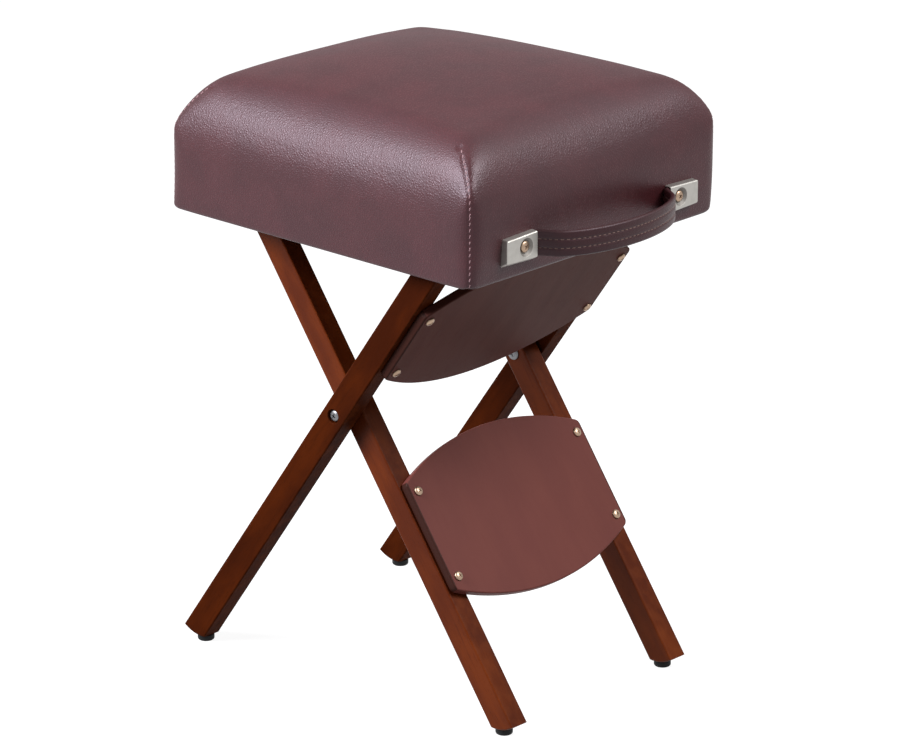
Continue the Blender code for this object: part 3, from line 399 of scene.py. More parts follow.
def pick(kind, test):
    # selects the points, edges or faces of the open piece that pass a test
    mesh = bpy.context.object.data
    bpy.ops.mesh.select_mode(type=kind)
    bpy.ops.mesh.select_all(action="DESELECT")
    shape = bmesh.from_edit_mesh(mesh)
    shape.normal_update()
    for item in {"VERT": shape.verts, "EDGE": shape.edges, "FACE": shape.faces}[kind]:
        if test(item):
            item.select_set(True)
    shape.select_flush_mode()
    bmesh.update_edit_mesh(mesh)


def span(edge, axis):
    # how far an edge runs along one axis
    return abs(edge.verts[0].co[axis] - edge.verts[1].co[axis])


def applyStep(piece, kind, **settings):
    takeUp(piece)
    step = piece.modifiers.new(kind.lower(), kind)
    for key, value in settings.items():
        setattr(step, key, value)
    bpy.ops.object.modifier_apply(modifier=step.name)


def cut(piece, tool, operation="DIFFERENCE"):
    applyStep(piece, "BOOLEAN", operation=operation, solver="EXACT", object=tool)
    scrap(tool)


def settle(piece, place):
    # moves a piece to its place and writes the place into its mesh
    takeUp(piece)
    piece.matrix_world = place
    bpy.ops.object.transform_apply()


def smooth(piece, angle=35, weighted=True):
    takeUp(piece)
    bpy.ops.object.shade_smooth_by_angle(angle=math.radians(angle))
    if weighted:
        applyStep(piece, "WEIGHTED_NORMAL", keep_sharp=True, weight=60)


def copyOf(piece):
    other = piece.copy()
    other.data = piece.data.copy()
    bpy.context.scene.collection.objects.link(other)
    return other


def finishPiece(piece, name, body, slotName, material, *stoodFor):
    putDown()
    piece.name = name
    piece.data.name = name
    piece.data.materials.clear()
    piece.data.materials.append(material)
    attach(piece, body)
    if stoodFor:
        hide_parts(*stoodFor)
    return piece


def turnOut(profile, steps=40):
    # a half profile of (radius, height), spun round Z
    piece = startFrom(bpy.ops.mesh.primitive_circle_add, vertices=len(profile), fill_type="NOTHING")
    for point, (radius, height) in zip(piece.data.vertices, profile):
        point.co = (radius, 0, height)
    openUp(piece)
    pick("EDGE", lambda edge: {end.index for end in edge.verts} == {0, len(profile) - 1})
    bpy.ops.mesh.delete(type="EDGE")
    selectAll()
    bpy.ops.mesh.spin(steps=steps, angle=2 * math.pi, center=(0, 0, 0), axis=(0, 0, 1))
    selectAll()
    bpy.ops.mesh.remove_doubles(threshold=1e-6)
    faceOutward()
    putDown()
    return piece


def sawOut(outline, thickness, edgeRound, edgeSteps, corners=(), cornerRound=0.0):
    # a board cut to an outline in X and Y, its named corners and both rims rounded
    piece = startFrom(bpy.ops.mesh.primitive_circle_add, vertices=len(outline), fill_type="NGON")
    for point, (x, y) in zip(piece.data.vertices, outline):
        point.co = (x, y, -thickness / 2)
    openUp(piece)
    if corners:
        spots = [Vector((*corner, -thickness / 2)) for corner in corners]
        pick("VERT", lambda point: min((point.co - spot).length for spot in spots) < 1e-6)
        bpy.ops.mesh.bevel(offset=cornerRound, segments=8, affect="VERTICES")
    selectAll()
    bpy.ops.mesh.extrude_region_move(TRANSFORM_OT_translate={"value": (0, 0, thickness)})
    faceOutward()
    pick("EDGE", lambda edge: span(edge, 2) < 1e-7)
    bpy.ops.mesh.bevel(offset=edgeRound, segments=edgeSteps, affect="EDGES", clamp_overlap=True)
    putDown()
    return piece


def arcPoints(middle, radius, start, end, steps):
    angles = [start + (end - start) * step / steps for step in range(steps + 1)]
    return [(middle[0] + radius * math.cos(a), middle[1] + radius * math.sin(a)) for a in angles]


def pointing(place, way, roll=0.0):
    # turns a piece's Z to a direction
    turn = Vector(way).to_track_quat("Z", "Y").to_matrix().to_4x4()
    return Matrix.Translation(place) @ turn @ Matrix.Rotation(roll, 4, "Z")


def clamp(part):
    return min(max(part, 0.0), 1.0)


# a board is drawn in X and Y, and its Y then runs up the leg
standUp = Matrix.Rotation(math.pi / 2, 4, "X")  # X, Y to X, Z
faceOut = Matrix(((0, 0, 1, 0), (1, 0, 0, 0), (0, 1, 0, 0), (0, 0, 0, 1)))  # X, Y to Y, Z


# Legs
legs = {
    "depth": 0.027, "thick": 0.022, "edge": 0.003, "edgeSteps": 6, "footRadius": 0.040, "glideHeight": 0.0063,
    "boreRadius": 0.007, "boreDepth": 0.0042, "boreLip": 0.0004,
}
halfLeg = legs["depth"] / 2
footRise = legs["glideHeight"] + fitGap + legs["footRadius"]
endDown = (pivot.z + halfLeg * math.sin(lean) - footRise) / math.cos(lean)


def legOutline(footSide):
    # round at the top, the foot cut to an arc about a point on its outer edge
    top = arcPoints((0, armUp), halfLeg, 0, math.pi, 24)
    sweep = math.asin(legs["depth"] / legs["footRadius"])
    foot = []
    for step in range(17):
        angle = sweep * step / 16
        x = footSide * (halfLeg - legs["footRadius"] * math.sin(angle))
        foot.append((x, -endDown - legs["footRadius"] * math.cos(angle)))
    return top + (foot if footSide < 0 else foot[::-1])


def counterbore(leg, place, outward):
    # a flat-bottomed round recess with a softened mouth
    depth, radius, lip = [legs[key] for key in ("boreDepth", "boreRadius", "boreLip")]
    profile = [
        (0, -depth), (radius - lip, -depth), (radius, lip - depth), (radius, -lip), (radius + lip, 0),
        (radius + lip, depth), (0, depth),
    ]
    tool = turnOut(profile, 48)
    settle(tool, pointing(place, outward))
    cut(leg, tool)


for legName, footSide, stain in (("outer", -1, outerLegWood), ("inner", 1, innerLegWood)):
    blank = sawOut(legOutline(footSide), legs["thick"], legs["edge"], legs["edgeSteps"])
    for side, sign in sides.items():
        node = f"{legName}_leg_{side}"
        low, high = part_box(node)
        leg = copyOf(blank)
        settle(leg, Matrix.Translation((0, (low.y + high.y) / 2, 0)) @ standUp)
        if legName == "outer":
            inner, outer = sorted((low.y, high.y), key=abs)
            counterbore(leg, Vector((0, outer, 0)), (0, sign, 0))
            counterbore(leg, Vector((0, inner, armUp)), (0, -sign, 0))
        settle(leg, frames[legName])
        smooth(leg)
        finishPiece(leg, f"{legName}_leg_bar_{side}", f"{legName}_frame", "leg_wood", stain, node)
    scrap(blank)
print("legs cut and bored")


# Plates across the legs
plates = {
    "thick": 0.009, "arc": 0.290, "corner": 0.004, "edge": 0.0016, "edgeSteps": 4, "screwFromEnd": 0.0103,
    "upper": {"side": 0.091, "share": 0.5457, "screwFromRim": 0.0079},
    "lower": {"side": 0.113, "share": 0.4205, "screwFromRim": 0.01125},
}


def barrelOutline(width, side):
    # straight sides, bowed top and bottom
    half = width / 2
    spread = math.asin(half / plates["arc"])
    low = side / 2 - plates["arc"] * math.cos(spread)
    upper = arcPoints((0, low), plates["arc"], math.pi / 2 - spread, math.pi / 2 + spread, 40)
    return upper + [(-x, -y) for x, y in upper]


plateRows = {}
for plateName, legName, stain in (("upper", "outer", upperPlateWood), ("lower", "inner", lowerPlateWood)):
    node = plateName + "_plate"
    low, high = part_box(node)
    sizes = plates[plateName]
    width = high.y - low.y
    up = armUp * sizes["share"]
    if plateName == "lower":
        up = -(endDown + legs["footRadius"]) * sizes["share"]
    outline = barrelOutline(width, sizes["side"])
    corners = [(x * width / 2, y * sizes["side"] / 2) for x in (-1, 1) for y in (-1, 1)]
    plate = sawOut(outline, plates["thick"], plates["edge"], plates["edgeSteps"], corners, plates["corner"])
    front = halfLeg + fitGap + plates["thick"]
    settle(plate, Matrix.Translation((front - plates["thick"] / 2, 0, up)) @ faceOut)
    settle(plate, frames[legName])
    smooth(plate)
    finishPiece(plate, plateName + "_barrel_plate", legName + "_frame", "plate_wood", stain, node)
    reach = sizes["side"] / 2 - sizes["screwFromRim"]
    spots = [(front + fitGap, y, up + z) for z in (-reach, reach) for y in (low.y, high.y)]
    inset = plates["screwFromEnd"]
    plateRows[plateName] = [Vector((x, y + (inset if y < 0 else -inset), z)) for x, y, z in spots]
print("plates cut")


# Screws, bolts and nuts: pan heads with a cross recess
def domedHead(radius, height):
    points = [(0, height)]
    for step in range(1, 9):
        angle = math.pi / 2 * step / 8
        points.append((radius * math.sin(angle) ** 0.9, height * (0.22 + 0.78 * math.cos(angle))))
    return points + [(radius, 0.0)]


def crossRecess(head, top, reach, wide, deep):
    # two crossed bars, drawn together at the bottom as a driver's tip is
    for turn in (0, math.pi / 2):
        tool = startFrom(bpy.ops.mesh.primitive_cube_add, size=1, location=(0, 0, top - deep / 2 + 0.0005))
        tool.scale = (reach * 2, wide, deep + 0.001)
        tool.rotation_euler = (0, 0, turn)
        bpy.ops.object.transform_apply()
        openUp(tool)
        pick("FACE", lambda face: face.normal.z < -0.5)
        bpy.ops.transform.resize(value=(0.45, 0.45, 1), center_override=(0, 0, top - deep))
        putDown()
        cut(head, tool)


def makeScrew(sizes, length):
    radius, height, shank = [sizes[key] for key in ("radius", "height", "shank")]
    profile = domedHead(radius, height) + [(shank, 0.0), (shank, sizes["nose"] - length), (0, -length)]
    screw = turnOut(profile)
    crossRecess(screw, height, radius * sizes["recess"], radius * 0.27, height * 0.62)
    smooth(screw, 32)
    return screw


def drive(pattern, place, name, body, slotName, material, node):
    screw = copyOf(pattern)
    settle(screw, place)
    return finishPiece(screw, name, body, slotName, material, node)


plateScrew = {
    "radius": 0.0047, "height": 0.0029, "shank": 0.0022, "nose": 0.003, "recess": 0.55,
    "length": 0.0256, "rolls": (20, 65, 48, 8),
}
pattern = makeScrew(plateScrew, plateScrew["length"])
for plateName, legName in (("upper", "outer"), ("lower", "inner")):
    for number, (spot, roll) in enumerate(zip(plateRows[plateName], plateScrew["rolls"]), 1):
        place = frames[legName] @ pointing(spot, (1, 0, 0), math.radians(roll))
        node = f"{plateName}_plate_screw_{number}"
        name = node.replace("plate", "cross")
        drive(pattern, place, name, legName + "_frame", "plated_screw", brassy, node)
scrap(pattern)

bolt = {"radius": 0.006, "height": 0.0034, "shank": 0.004, "nose": 0.0003, "recess": 0.55}
nut = dict(bolt, radius=0.0066, height=0.0028, shank=0.0055)
boltRoll = math.radians(25)
boltRows = (
    ("pivot_bolt", bolt, "outer_frame", pivot, 1, boltRoll),
    ("pivot_nut", nut, "inner_frame", pivot, -1, boltRoll),
    ("hinge_bolt", bolt, "seat", hinge, -1, 0.0),
)
for kind, sizes, body, middle, outward, roll in boltRows:
    low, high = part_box(kind + "_left")
    pattern = makeScrew(sizes, high.y - low.y - sizes["height"])
    for side, sign in sides.items():
        node = f"{kind}_{side}"
        low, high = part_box(node)
        way = sign * outward
        top = high.y if way > 0 else low.y
        place = pointing(Vector((middle.x, top - way * sizes["height"], middle.z)), (0, way, 0), roll * sign)
        drive(pattern, place, node.replace("_", "_cross_", 1), body, "steel", zinc, node)
    scrap(pattern)

low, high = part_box("runner_screw_1")
pattern = makeScrew(dict(plateScrew, nose=0.002), high.z - low.z - plateScrew["height"])
for number in range(1, 5):
    node = f"runner_screw_{number}"
    low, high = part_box(node)
    spot = Vector(((low.x + high.x) / 2, (low.y + high.y) / 2, low.z + plateScrew["height"]))
    place = pointing(spot, (0, 0, -1), number)
    drive(pattern, place, f"runner_cross_screw_{number}", "seat", "steel", zinc, node)
scrap(pattern)
print("screws, bolts and nuts driven")


# Glides under the feet
glide = {
    "radius": 0.0085, "height": legs["glideHeight"], "round": 0.0022, "pin": 0.0014, "pinLength": 0.012,
    "rim": 0.0007, "rimSet": 0.0002, "flat": 0.4,
}
radius, height, pin, rim = [glide[key] for key in ("radius", "height", "pin", "rim")]
glideProfile = [(0, glide["pinLength"]), (pin, glide["pinLength"] - pin), (pin, 0), (radius - rim, 0)]
glideProfile += [(radius - glide["rimSet"], -glide["rimSet"]), (radius, -rim)]
corner = (radius - glide["round"], glide["round"] - height)
glideProfile += arcPoints(corner, glide["round"], 0, -math.pi / 2, 6)
glideProfile += [(radius * glide["flat"], -height), (0, -height)]
pattern = turnOut(glideProfile, 48)
smooth(pattern, 40)
for legName in ("outer", "inner"):
    for side in sides:
        node = f"{legName}_foot_{side}"
        low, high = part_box(node)
        place = Matrix.Translation(((low.x + high.x) / 2, (low.y + high.y) / 2, low.z + height))
        drive(pattern, place, node + "_glide", legName + "_frame", "glide", blackPlastic, node)
scrap(pattern)
print("glides pinned on")


# Seat cushion: foam under a fitted cover, blown up as cloth and held where wood backs it
pad = {
    "length": 0.396, "width": 0.352, "hem": 0.460, "total": 0.1334, "crown": 0.0214,
    "corner": 0.0088, "cornerRise": 0.008, "cornerGrow": 0.61,  # radius at the hem, and how it grows upwards
    "square": 1.5, "belly": 2.0, "softer": 0.004, "firmer": 0.36, "skirt": 0.6, "flat": 0.75, "rim": 0.93,
    "cornerEdge": {"start": 0.0675, "reach": 0.0515, "power": 2.3},  # shoulder's profile at a corner
    "middleEdge": {"start": 0.050, "reach": 0.054, "power": 2.1},  # and half way between two
    "swell": 0.0023, "lean": (0.001168, 0.001088), "fuller": 0.0031, "backDrop": 0.011,
    "hemRound": 0.0012, "hemCorner": 0.004, "gather": 0.6, "hemWidth": 0.013, "hemFlat": 0.0004,
    "coverThick": 0.0015, "foamLow": 0.0524, "cuts": 47, "voxel": 0.005, "slack": 0.005,
}
padMiddle = Vector((pivot.x, 0, pad["hem"]))


def edgeProfile(a, b):
    # the shoulder starts lower and is rounder between the corners
    least, most = sorted((abs(a), abs(b)))
    share = (least / max(most, 1e-6)) ** pad["belly"]
    pairs = [(pad["middleEdge"][key], pad["cornerEdge"][key]) for key in ("start", "reach", "power")]
    start, reach, power = [middle + (corner - middle) * share for middle, corner in pairs]
    side = (a + b) / 2 * share  # one corner is softer, the one across from it firmer
    return start + pad["softer"] * min(side, 0.0), reach, power + pad["firmer"] * max(side, 0.0)


def shoulder(distance, reach, power):
    part = clamp(distance / reach)
    return max((1 - (1 - part) ** power) ** (1 / power), 1e-4)


def shoulderInset(rise, reach, power):
    return reach * (1 - (1 - rise ** power) ** (1 / power))


def spreadOut(part, half, radius):
    # columns lie close at the corners
    size, flat = abs(part), pad["flat"]
    inner = half - radius
    place = inner * size / flat if size < flat else inner + radius * (size - flat) / (1 - flat)
    return math.copysign(place, part)


def hemTuck(a, b, height):
    # the hem's edge is folded round, more so where the cover is gathered at a corner
    near = max((min(abs(a), abs(b)) - pad["gather"]) / (1 - pad["gather"]), 0.0)
    fold = pad["hemRound"] + pad["hemCorner"] * near ** 2
    return fold * (1 - math.sqrt(1 - (1 - height / fold) ** 2)) if height < fold else 0.0


def padPlace(a, b, c, slack):
    # a point of a cube from -1 to 1 goes to its place on the pad, a little low where foam fills it
    start, reach, power = edgeProfile(a, b)
    rise = (c + 1) / 2 / pad["skirt"]
    height = start * min(rise, 1.0)
    up = math.sin(min(height / pad["middleEdge"]["start"], 1.0) * math.pi / 2)
    inset = hemTuck(a, b, height)
    if rise > 1:
        over = (rise - 1) * pad["skirt"] / (1 - pad["skirt"])
        inset = shoulderInset(math.sin(over * pad["rim"] * math.pi / 2), reach, power)
    halfX = pad["length"] / 2 + pad["swell"] * up
    halfY = pad["width"] / 2 + pad["swell"] * up
    radius = pad["corner"] + pad["cornerRise"] * up + inset * pad["cornerGrow"]
    x = spreadOut(a, halfX - inset, radius)
    y = spreadOut(b, halfY - inset, radius)
    overX = max(abs(x) - (halfX - inset - radius), 0.0)
    overY = max(abs(y) - (halfY - inset - radius), 0.0)
    if overX > 0 and overY > 0:
        pull = max(overX, overY) / math.hypot(overX, overY)
        x = math.copysign(halfX - inset - radius + overX * pull, x)
        y = math.copysign(halfY - inset - radius + overY * pull, y)
    if rise > 1:
        shares = [shoulder(halfX - abs(x), reach, power), shoulder(halfY - abs(y), reach, power)]
        full = (sum(share ** -pad["square"] for share in shares) - 1) ** (-1 / pad["square"])
        dome = (1 - (x / halfX) ** 2) * (1 - (y / halfY) ** 2)
        height += (pad["total"] - start) * full + (pad["crown"] - slack * pad["slack"]) * dome
    # the foam is fuller towards one corner, leans to it and lies lower at the back
    toBack = max((y / halfY - x / halfX) / 2, 0.0)
    skew = pad["fuller"] * (x + y) / (halfX + halfY) - pad["backDrop"] * toBack ** 2
    height += skew * min(height / pad["cornerEdge"]["start"], 1.0)
    return padMiddle + Vector((x + pad["lean"][0] * up, y + pad["lean"][1] * up, height))


foam = {
    "pressure": 4.0, "frames": 20, "tension": 40, "bending": 30, "quality": 6,
    "reach": 0.005, "even": 240, "heldOver": 0.012,  # farthest move, rounds of evening, band over the box
}


def blowUp(piece, sizes):
    # pressure from the foam, the skirt held on the wooden box
    takeUp(piece)
    held = piece.vertex_groups.new(name="held")
    freedom = []
    for point in piece.data.vertices:
        free = clamp((point.co.z - pad["hem"] - pad["foamLow"]) / sizes["heldOver"])
        held.add([point.index], 1 - free, "REPLACE")
        freedom.append(min(free * 4, 1.0))
    start = [point.co.copy() for point in piece.data.vertices]
    cloth = piece.modifiers.new("foam", "CLOTH")
    cloth.settings.quality = sizes["quality"]
    cloth.settings.tension_stiffness = sizes["tension"]
    cloth.settings.bending_stiffness = sizes["bending"]
    cloth.settings.use_pressure = True
    cloth.settings.uniform_pressure_force = sizes["pressure"]
    cloth.settings.vertex_group_mass = "held"
    cloth.settings.effector_weights.gravity = 0
    cloth.point_cache.frame_start = 1
    cloth.point_cache.frame_end = sizes["frames"]
    for number in range(1, sizes["frames"] + 1):
        bpy.context.scene.frame_set(number)
    bpy.ops.object.modifier_apply(modifier=cloth.name)
    bpy.context.scene.frame_set(1)
    piece.vertex_groups.clear()
    moves = np.array([point.co - before for point, before in zip(piece.data.vertices, start)])
    far = np.linalg.norm(moves, axis=1)
    moves *= np.minimum(1.0, sizes["reach"] / np.maximum(far, 1e-9))[:, None]
    # stiff hide over foam: the movement is shared with the neighbours, so that nothing buckles
    ends = np.array([edge.vertices[:] for edge in piece.data.edges])
    count = np.bincount(ends.ravel(), minlength=len(moves))[:, None]
    for turn in range(sizes["even"]):
        total = np.zeros_like(moves)
        np.add.at(total, ends[:, 0], moves[ends[:, 1]])
        np.add.at(total, ends[:, 1], moves[ends[:, 0]])
        moves = (moves + total / count) / 2 * np.array(freedom)[:, None]
    for point, before, move in zip(piece.data.vertices, start, moves):
        point.co = before + Vector(move)
    most = np.linalg.norm(moves, axis=1).max()
    print("cushion blown up,", round(most * 1000, 1), "mm at most")


cushion = startFrom(bpy.ops.mesh.primitive_cube_add, size=2)
openUp(cushion)
selectAll()
bpy.ops.mesh.subdivide(number_cuts=pad["cuts"])
putDown()
for point in cushion.data.vertices:
    point.co = padPlace(*point.co, 1.0)
takeUp(cushion)
cushion.data.remesh_voxel_size = pad["voxel"]
bpy.ops.object.voxel_remesh()
blowUp(cushion, foam)
openUp(cushion)
pick("VERT", lambda point: point.co.z > pad["hem"] + 0.004)
bpy.ops.mesh.vertices_smooth(factor=0.5, repeat=2)
putDown()
applyStep(cushion, "SUBSURF", levels=1, render_levels=1)

# Corner seams: straight up each corner, then in over the shoulder to a pucker
seam = {
    "endX": 0.0366, "endY": 0.0262, "depth": 0.0004, "wide": 0.0018, "valley": 0.0002, "valleyWide": 0.007,
    "fade": 0.010, "valleyFade": 0.040, "below": 0.012, "beyond": 0.020, "fine": (0.008, 0.0045),
    "pucker": 0.0012, "puckerWide": 0.0035, "ring": 0.0005, "ringOut": 0.006, "ringWide": 0.003,
}
cornerSet = pad["corner"] * (1 - math.sqrt(0.5))
seamLines = []
for signX in (-1, 1):
    for signY in (-1, 1):
        corner = Vector((signX * pad["length"] / 2, signY * pad["width"] / 2))
        begin = corner - Vector((signX, signY)) * cornerSet
        end = corner - Vector((signX * seam["endX"], signY * seam["endY"]))
        seamLines.append((begin + padMiddle.xy, (end - begin).normalized(), (end - begin).length))


def hump(distance, wide):
    return math.exp(-((distance / wide) ** 2))


def nearSeam(place):
    # distance across and along the nearest corner seam, in plan
    best = None
    for begin, along, length in seamLines:
        apart = place.xy - begin
        reach = apart.dot(along)
        across = apart.x * along.y - apart.y * along.x
        onSeam = -seam["below"] < reach < length + seam["beyond"]
        if onSeam and (best is None or abs(across) < abs(best[0])):
            best = (across, reach, length)
    return best


def faceBySeam(face, wide):
    found = nearSeam(face.calc_center_median())
    return bool(found) and abs(found[0]) < wide and found[1] < found[2] + seam["fine"][0]


for wide in seam["fine"]:
    openUp(cushion)
    pick("FACE", lambda face: faceBySeam(face, wide))
    bpy.ops.mesh.subdivide(number_cuts=1, smoothness=0.0)
    putDown()
cushion.data.update()
moves = []
for point in cushion.data.vertices:
    found = nearSeam(point.co)
    if not found:
        continue
    across, reach, length = found
    sink = seam["depth"] * hump(across, seam["wide"]) * clamp((length - reach) / seam["fade"])
    sink += seam["valley"] * hump(across, seam["valleyWide"]) * clamp((length - reach) / seam["valleyFade"])
    away = math.hypot(across, reach - length)
    sink += seam["pucker"] * hump(away, seam["puckerWide"])
    sink -= seam["ring"] * hump(away - seam["ringOut"], seam["ringWide"])
    if sink > 2e-5:
        moves.append((point.index, point.normal * sink))
for index, move in moves:
    cushion.data.vertices[index].co -= move
skin = BVHTree.FromObject(cushion, bpy.context.evaluated_depsgraph_get())

# Hem: the cover turns under the wooden box, and the foam lies on the board
openUp(cushion)
selectAll()
flat = (0, 0, pad["hem"] + pad["hemFlat"])
bpy.ops.mesh.bisect(plane_co=flat, plane_no=(0, 0, 1), use_fill=True, clear_inner=True)
cover, hem = pad["coverThick"], pad["hemWidth"]
turns = [(cover, 0.0), (hem, 0.0), (hem, cover), (cover + fitGap, cover), (cover + fitGap, pad["foamLow"])]
turns = [(pad["length"] / 2 - inset, pad["width"] / 2 - inset, up) for inset, up in turns]
wasX, wasY, wasUp = turns[0]
for nowX, nowY, nowUp in turns[1:]:
    bpy.ops.mesh.extrude_region_move(TRANSFORM_OT_translate={"value": (0, 0, nowUp - wasUp)})
    bpy.ops.transform.resize(value=(nowX / wasX, nowY / wasY, 1), center_override=padMiddle)
    wasX, wasY, wasUp = nowX, nowY, nowUp
faceOutward()
putDown()
smooth(cushion, 50, False)
finishPiece(cushion, "seat_cushion", "seat", "leatherette", seatHide, "seat_cover", "seat_foam")
print("cushion sewn,", len(cushion.data.polygons), "faces")

# Seam stitches: one short thread, copied along the seams
stitch = {
    "pitch": 0.0058, "length": 0.0036, "thick": 0.0011, "beside": 0.0010, "tilt": 14, "proud": 0.00012,
    "fromEnd": 0.002, "fromHem": 0.003, "step": 0.0005, "rays": 240, "jump": 0.004,
}


def threadStitch(sizes):
    thread = startFrom(
        bpy.ops.mesh.primitive_cylinder_add, vertices=10, radius=sizes["thick"] / 2, depth=sizes["length"],
    )
    openUp(thread)
    pick("EDGE", lambda edge: span(edge, 2) < 1e-6)
    bpy.ops.mesh.bevel(offset=sizes["thick"] * 0.42, segments=2, affect="EDGES")
    pick("VERT", lambda point: abs(point.co.z) > sizes["length"] * 0.3)
    bpy.ops.transform.translate(value=(-sizes["thick"] * 0.35, 0, 0))  # the ends dip into the hide
    putDown()
    return thread


def lying(spot, lift, onward):
    # a thread's place: its X stands off the hide, its Z runs along the row
    turn = Matrix((lift, onward.cross(lift), onward)).transposed().to_4x4()
    return Matrix.Translation(spot) @ turn


def sewAlong(thread, places, name, material):
    # copies of one thread, joined as one row
    row = []
    for place in places:
        one = copyOf(thread)
        settle(one, place)
        row.append(one)
    putDown()
    for one in row:
        one.select_set(True)
    bpy.context.view_layer.objects.active = row[0]
    bpy.ops.object.join()
    scrap(thread)
    smooth(row[0], 60, False)
    return finishPiece(row[0], name, "seat", "leatherette", material)


def seamPath(begin, along, length, beside):
    # up the corner, then round over the shoulder, each point dropped on the cushion's skin
    edge = begin + Vector((along.y, -along.x)) * beside
    inward = along.to_3d()
    casts = []
    for step in range(int(pad["cornerEdge"]["start"] / stitch["step"])):
        high = pad["hem"] + stitch["fromHem"] + step * stitch["step"]
        casts.append(((edge - along * 0.05).to_3d() + Vector((0, 0, high)), inward))
    hub = (edge + along * length).to_3d() + Vector((0, 0, pad["hem"] + pad["cornerEdge"]["start"]))
    for step in range(stitch["rays"]):
        angle = math.pi / 2 * step / stitch["rays"]
        way = inward * math.cos(angle) - Vector((0, 0, math.sin(angle)))
        casts.append((hub - way * 0.2, way))
    found = [skin.ray_cast(start, way)[:2] for start, way in casts]
    return [(spot, normal) for spot, normal in found if spot is not None]


stitchPlaces = []
for begin, along, length in seamLines:
    mirrored = 1 if along.x * along.y < 0 else -1
    path = seamPath(begin, along, length - stitch["fromEnd"], mirrored * stitch["beside"])
    travelled = 0.0
    nextAt = stitch["fromEnd"]
    for (spot, normal), (ahead, _) in zip(path, path[1:]):
        travelled += (ahead - spot).length
        if travelled < nextAt or (ahead - spot).length > stitch["jump"]:
            continue
        nextAt = travelled + stitch["pitch"]
        onward = (ahead - spot).normalized()
        across = normal.cross(onward).normalized()
        lift = onward.cross(across).normalized()
        tilt = Matrix.Rotation(math.radians(-stitch["tilt"]) * mirrored, 4, "X")
        stitchPlaces.append(lying(spot + lift * stitch["proud"], lift, onward) @ tilt)
sewAlong(threadStitch(stitch), stitchPlaces, "seam_stitches", seamThread)
print("seams stitched,", len(stitchPlaces), "stitches")


# Strap handle
handle = {
    "offset": 0.002, "rise": 0.0308, "pitch": 0.221, "reach": 0.0520, "fullness": 0.39, "clear": 0.005,
    "wide": 0.0252, "thick": 0.0046, "tailWide": 0.0205, "bend": 0.007, "tail": 0.010,
    "capLength": 0.041, "capSetback": 0.026, "capHigh": 0.0250, "capTaper": 0.0028, "flareTop": 0.0008,
    "flareLow": 0.0055, "proud": 0.0104, "wall": 0.0012, "round": 0.0016,
    "dish": 0.0092, "dishFloor": 0.0064, "dishDeep": 0.0034, "dishLip": 0.0006,
}
face = Vector((pivot.x + pad["length"] / 2, handle["offset"], pad["hem"] + handle["rise"]))
mouth = handle["pitch"] / 2 + handle["capSetback"] - handle["capLength"]
strapEnd = handle["pitch"] / 2 + handle["tail"]


def bow(y):
    # full bow between the caps, eased before the strap enters them
    most = handle["reach"] - fitGap - handle["thick"]
    total = 0.0
    for step in range(-7, 8):
        near = y + handle["bend"] * step / 7
        part = min(abs(near) / (mouth - handle["clear"]), 1.0)
        total += most * math.cos(part * math.pi / 2) ** handle["fullness"]
    return fitGap + handle["thick"] / 2 + total / 15


def strapFrame(y):
    ahead, behind = bow(y + 0.0005), bow(y - 0.0005)
    along = Vector((ahead - behind, 0.001)).normalized()
    return Vector((bow(y), y)), Vector((along.y, -along.x)), along


strapLook = {
    "rows": (-0.0043, 0.0043), "groove": 0.0006, "grooveWide": 0.0011, "puff": 0.0009, "pitch": 0.0052,
    "edge": 0.0019, "cutsUp": 41, "cutsAlong": 179, "narrowAt": 0.004, "narrowOver": 0.006,
    "stitchFrom": 0.003,
}
strap = startFrom(bpy.ops.mesh.primitive_cube_add, size=1)
strap.scale = (handle["thick"], strapEnd * 2, handle["wide"])
bpy.ops.object.transform_apply()
openUp(strap)
pick("EDGE", lambda edge: span(edge, 1) > 0.01)
bpy.ops.mesh.bevel(offset=strapLook["edge"], segments=5, affect="EDGES")
pick("EDGE", lambda edge: span(edge, 2) > 0.01)
bpy.ops.mesh.subdivide(number_cuts=strapLook["cutsUp"])
pick("EDGE", lambda edge: span(edge, 1) > 0.01)
bpy.ops.mesh.subdivide(number_cuts=strapLook["cutsAlong"])
putDown()
for point in strap.data.vertices:
    out, y, up = point.co
    away = min(abs(up - row) for row in strapLook["rows"])
    press = strapLook["groove"] * hump(away, strapLook["grooveWide"])
    puff = strapLook["puff"] * (1 - (2 * up / handle["wide"]) ** 2)
    tail = clamp((abs(y) - mouth + strapLook["narrowAt"]) / strapLook["narrowOver"])
    up *= 1 + (handle["tailWide"] / handle["wide"] - 1) * tail
    side = min(max(out / (handle["thick"] / 2), -1.0), 1.0)
    out += side * (puff * (1 - tail) * 0.5 - press)
    middle, outward, along = strapFrame(y)
    spot = middle + outward * out
    point.co = face + Vector((spot.x, spot.y, up))
openUp(strap)
faceOutward()
putDown()
smooth(strap, 60, False)
finishPiece(strap, "strap_leather", "seat", "leatherette", strapHide, "handle_strap")

strapStitch = {"length": 0.0032, "thick": 0.0011}
strapPlaces = []
stations = np.linspace(strapLook["stitchFrom"] - mouth, mouth - strapLook["stitchFrom"], 601)
strides = np.hypot(np.diff(stations), np.diff([bow(y) for y in stations]))
run = np.concatenate(([0.0], np.cumsum(strides)))  # length along the bowed strap
count = int(run[-1] / strapLook["pitch"])
for row in strapLook["rows"]:
    for step in range(count):
        y = float(np.interp((step + 0.5) * run[-1] / count, run, stations))
        middle, outward, along = strapFrame(y)
        for side in (-1, 1):
            puff = strapLook["puff"] * (1 - (2 * row / handle["wide"]) ** 2) * 0.5
            out = side * (handle["thick"] / 2 + puff - strapLook["groove"] * 0.7)
            spot = middle + outward * out
            lift = Vector((outward.x, outward.y, 0)) * side
            onward = Vector((along.x, along.y, 0))
            strapPlaces.append(lying(face + Vector((spot.x, spot.y, row)), lift, onward))
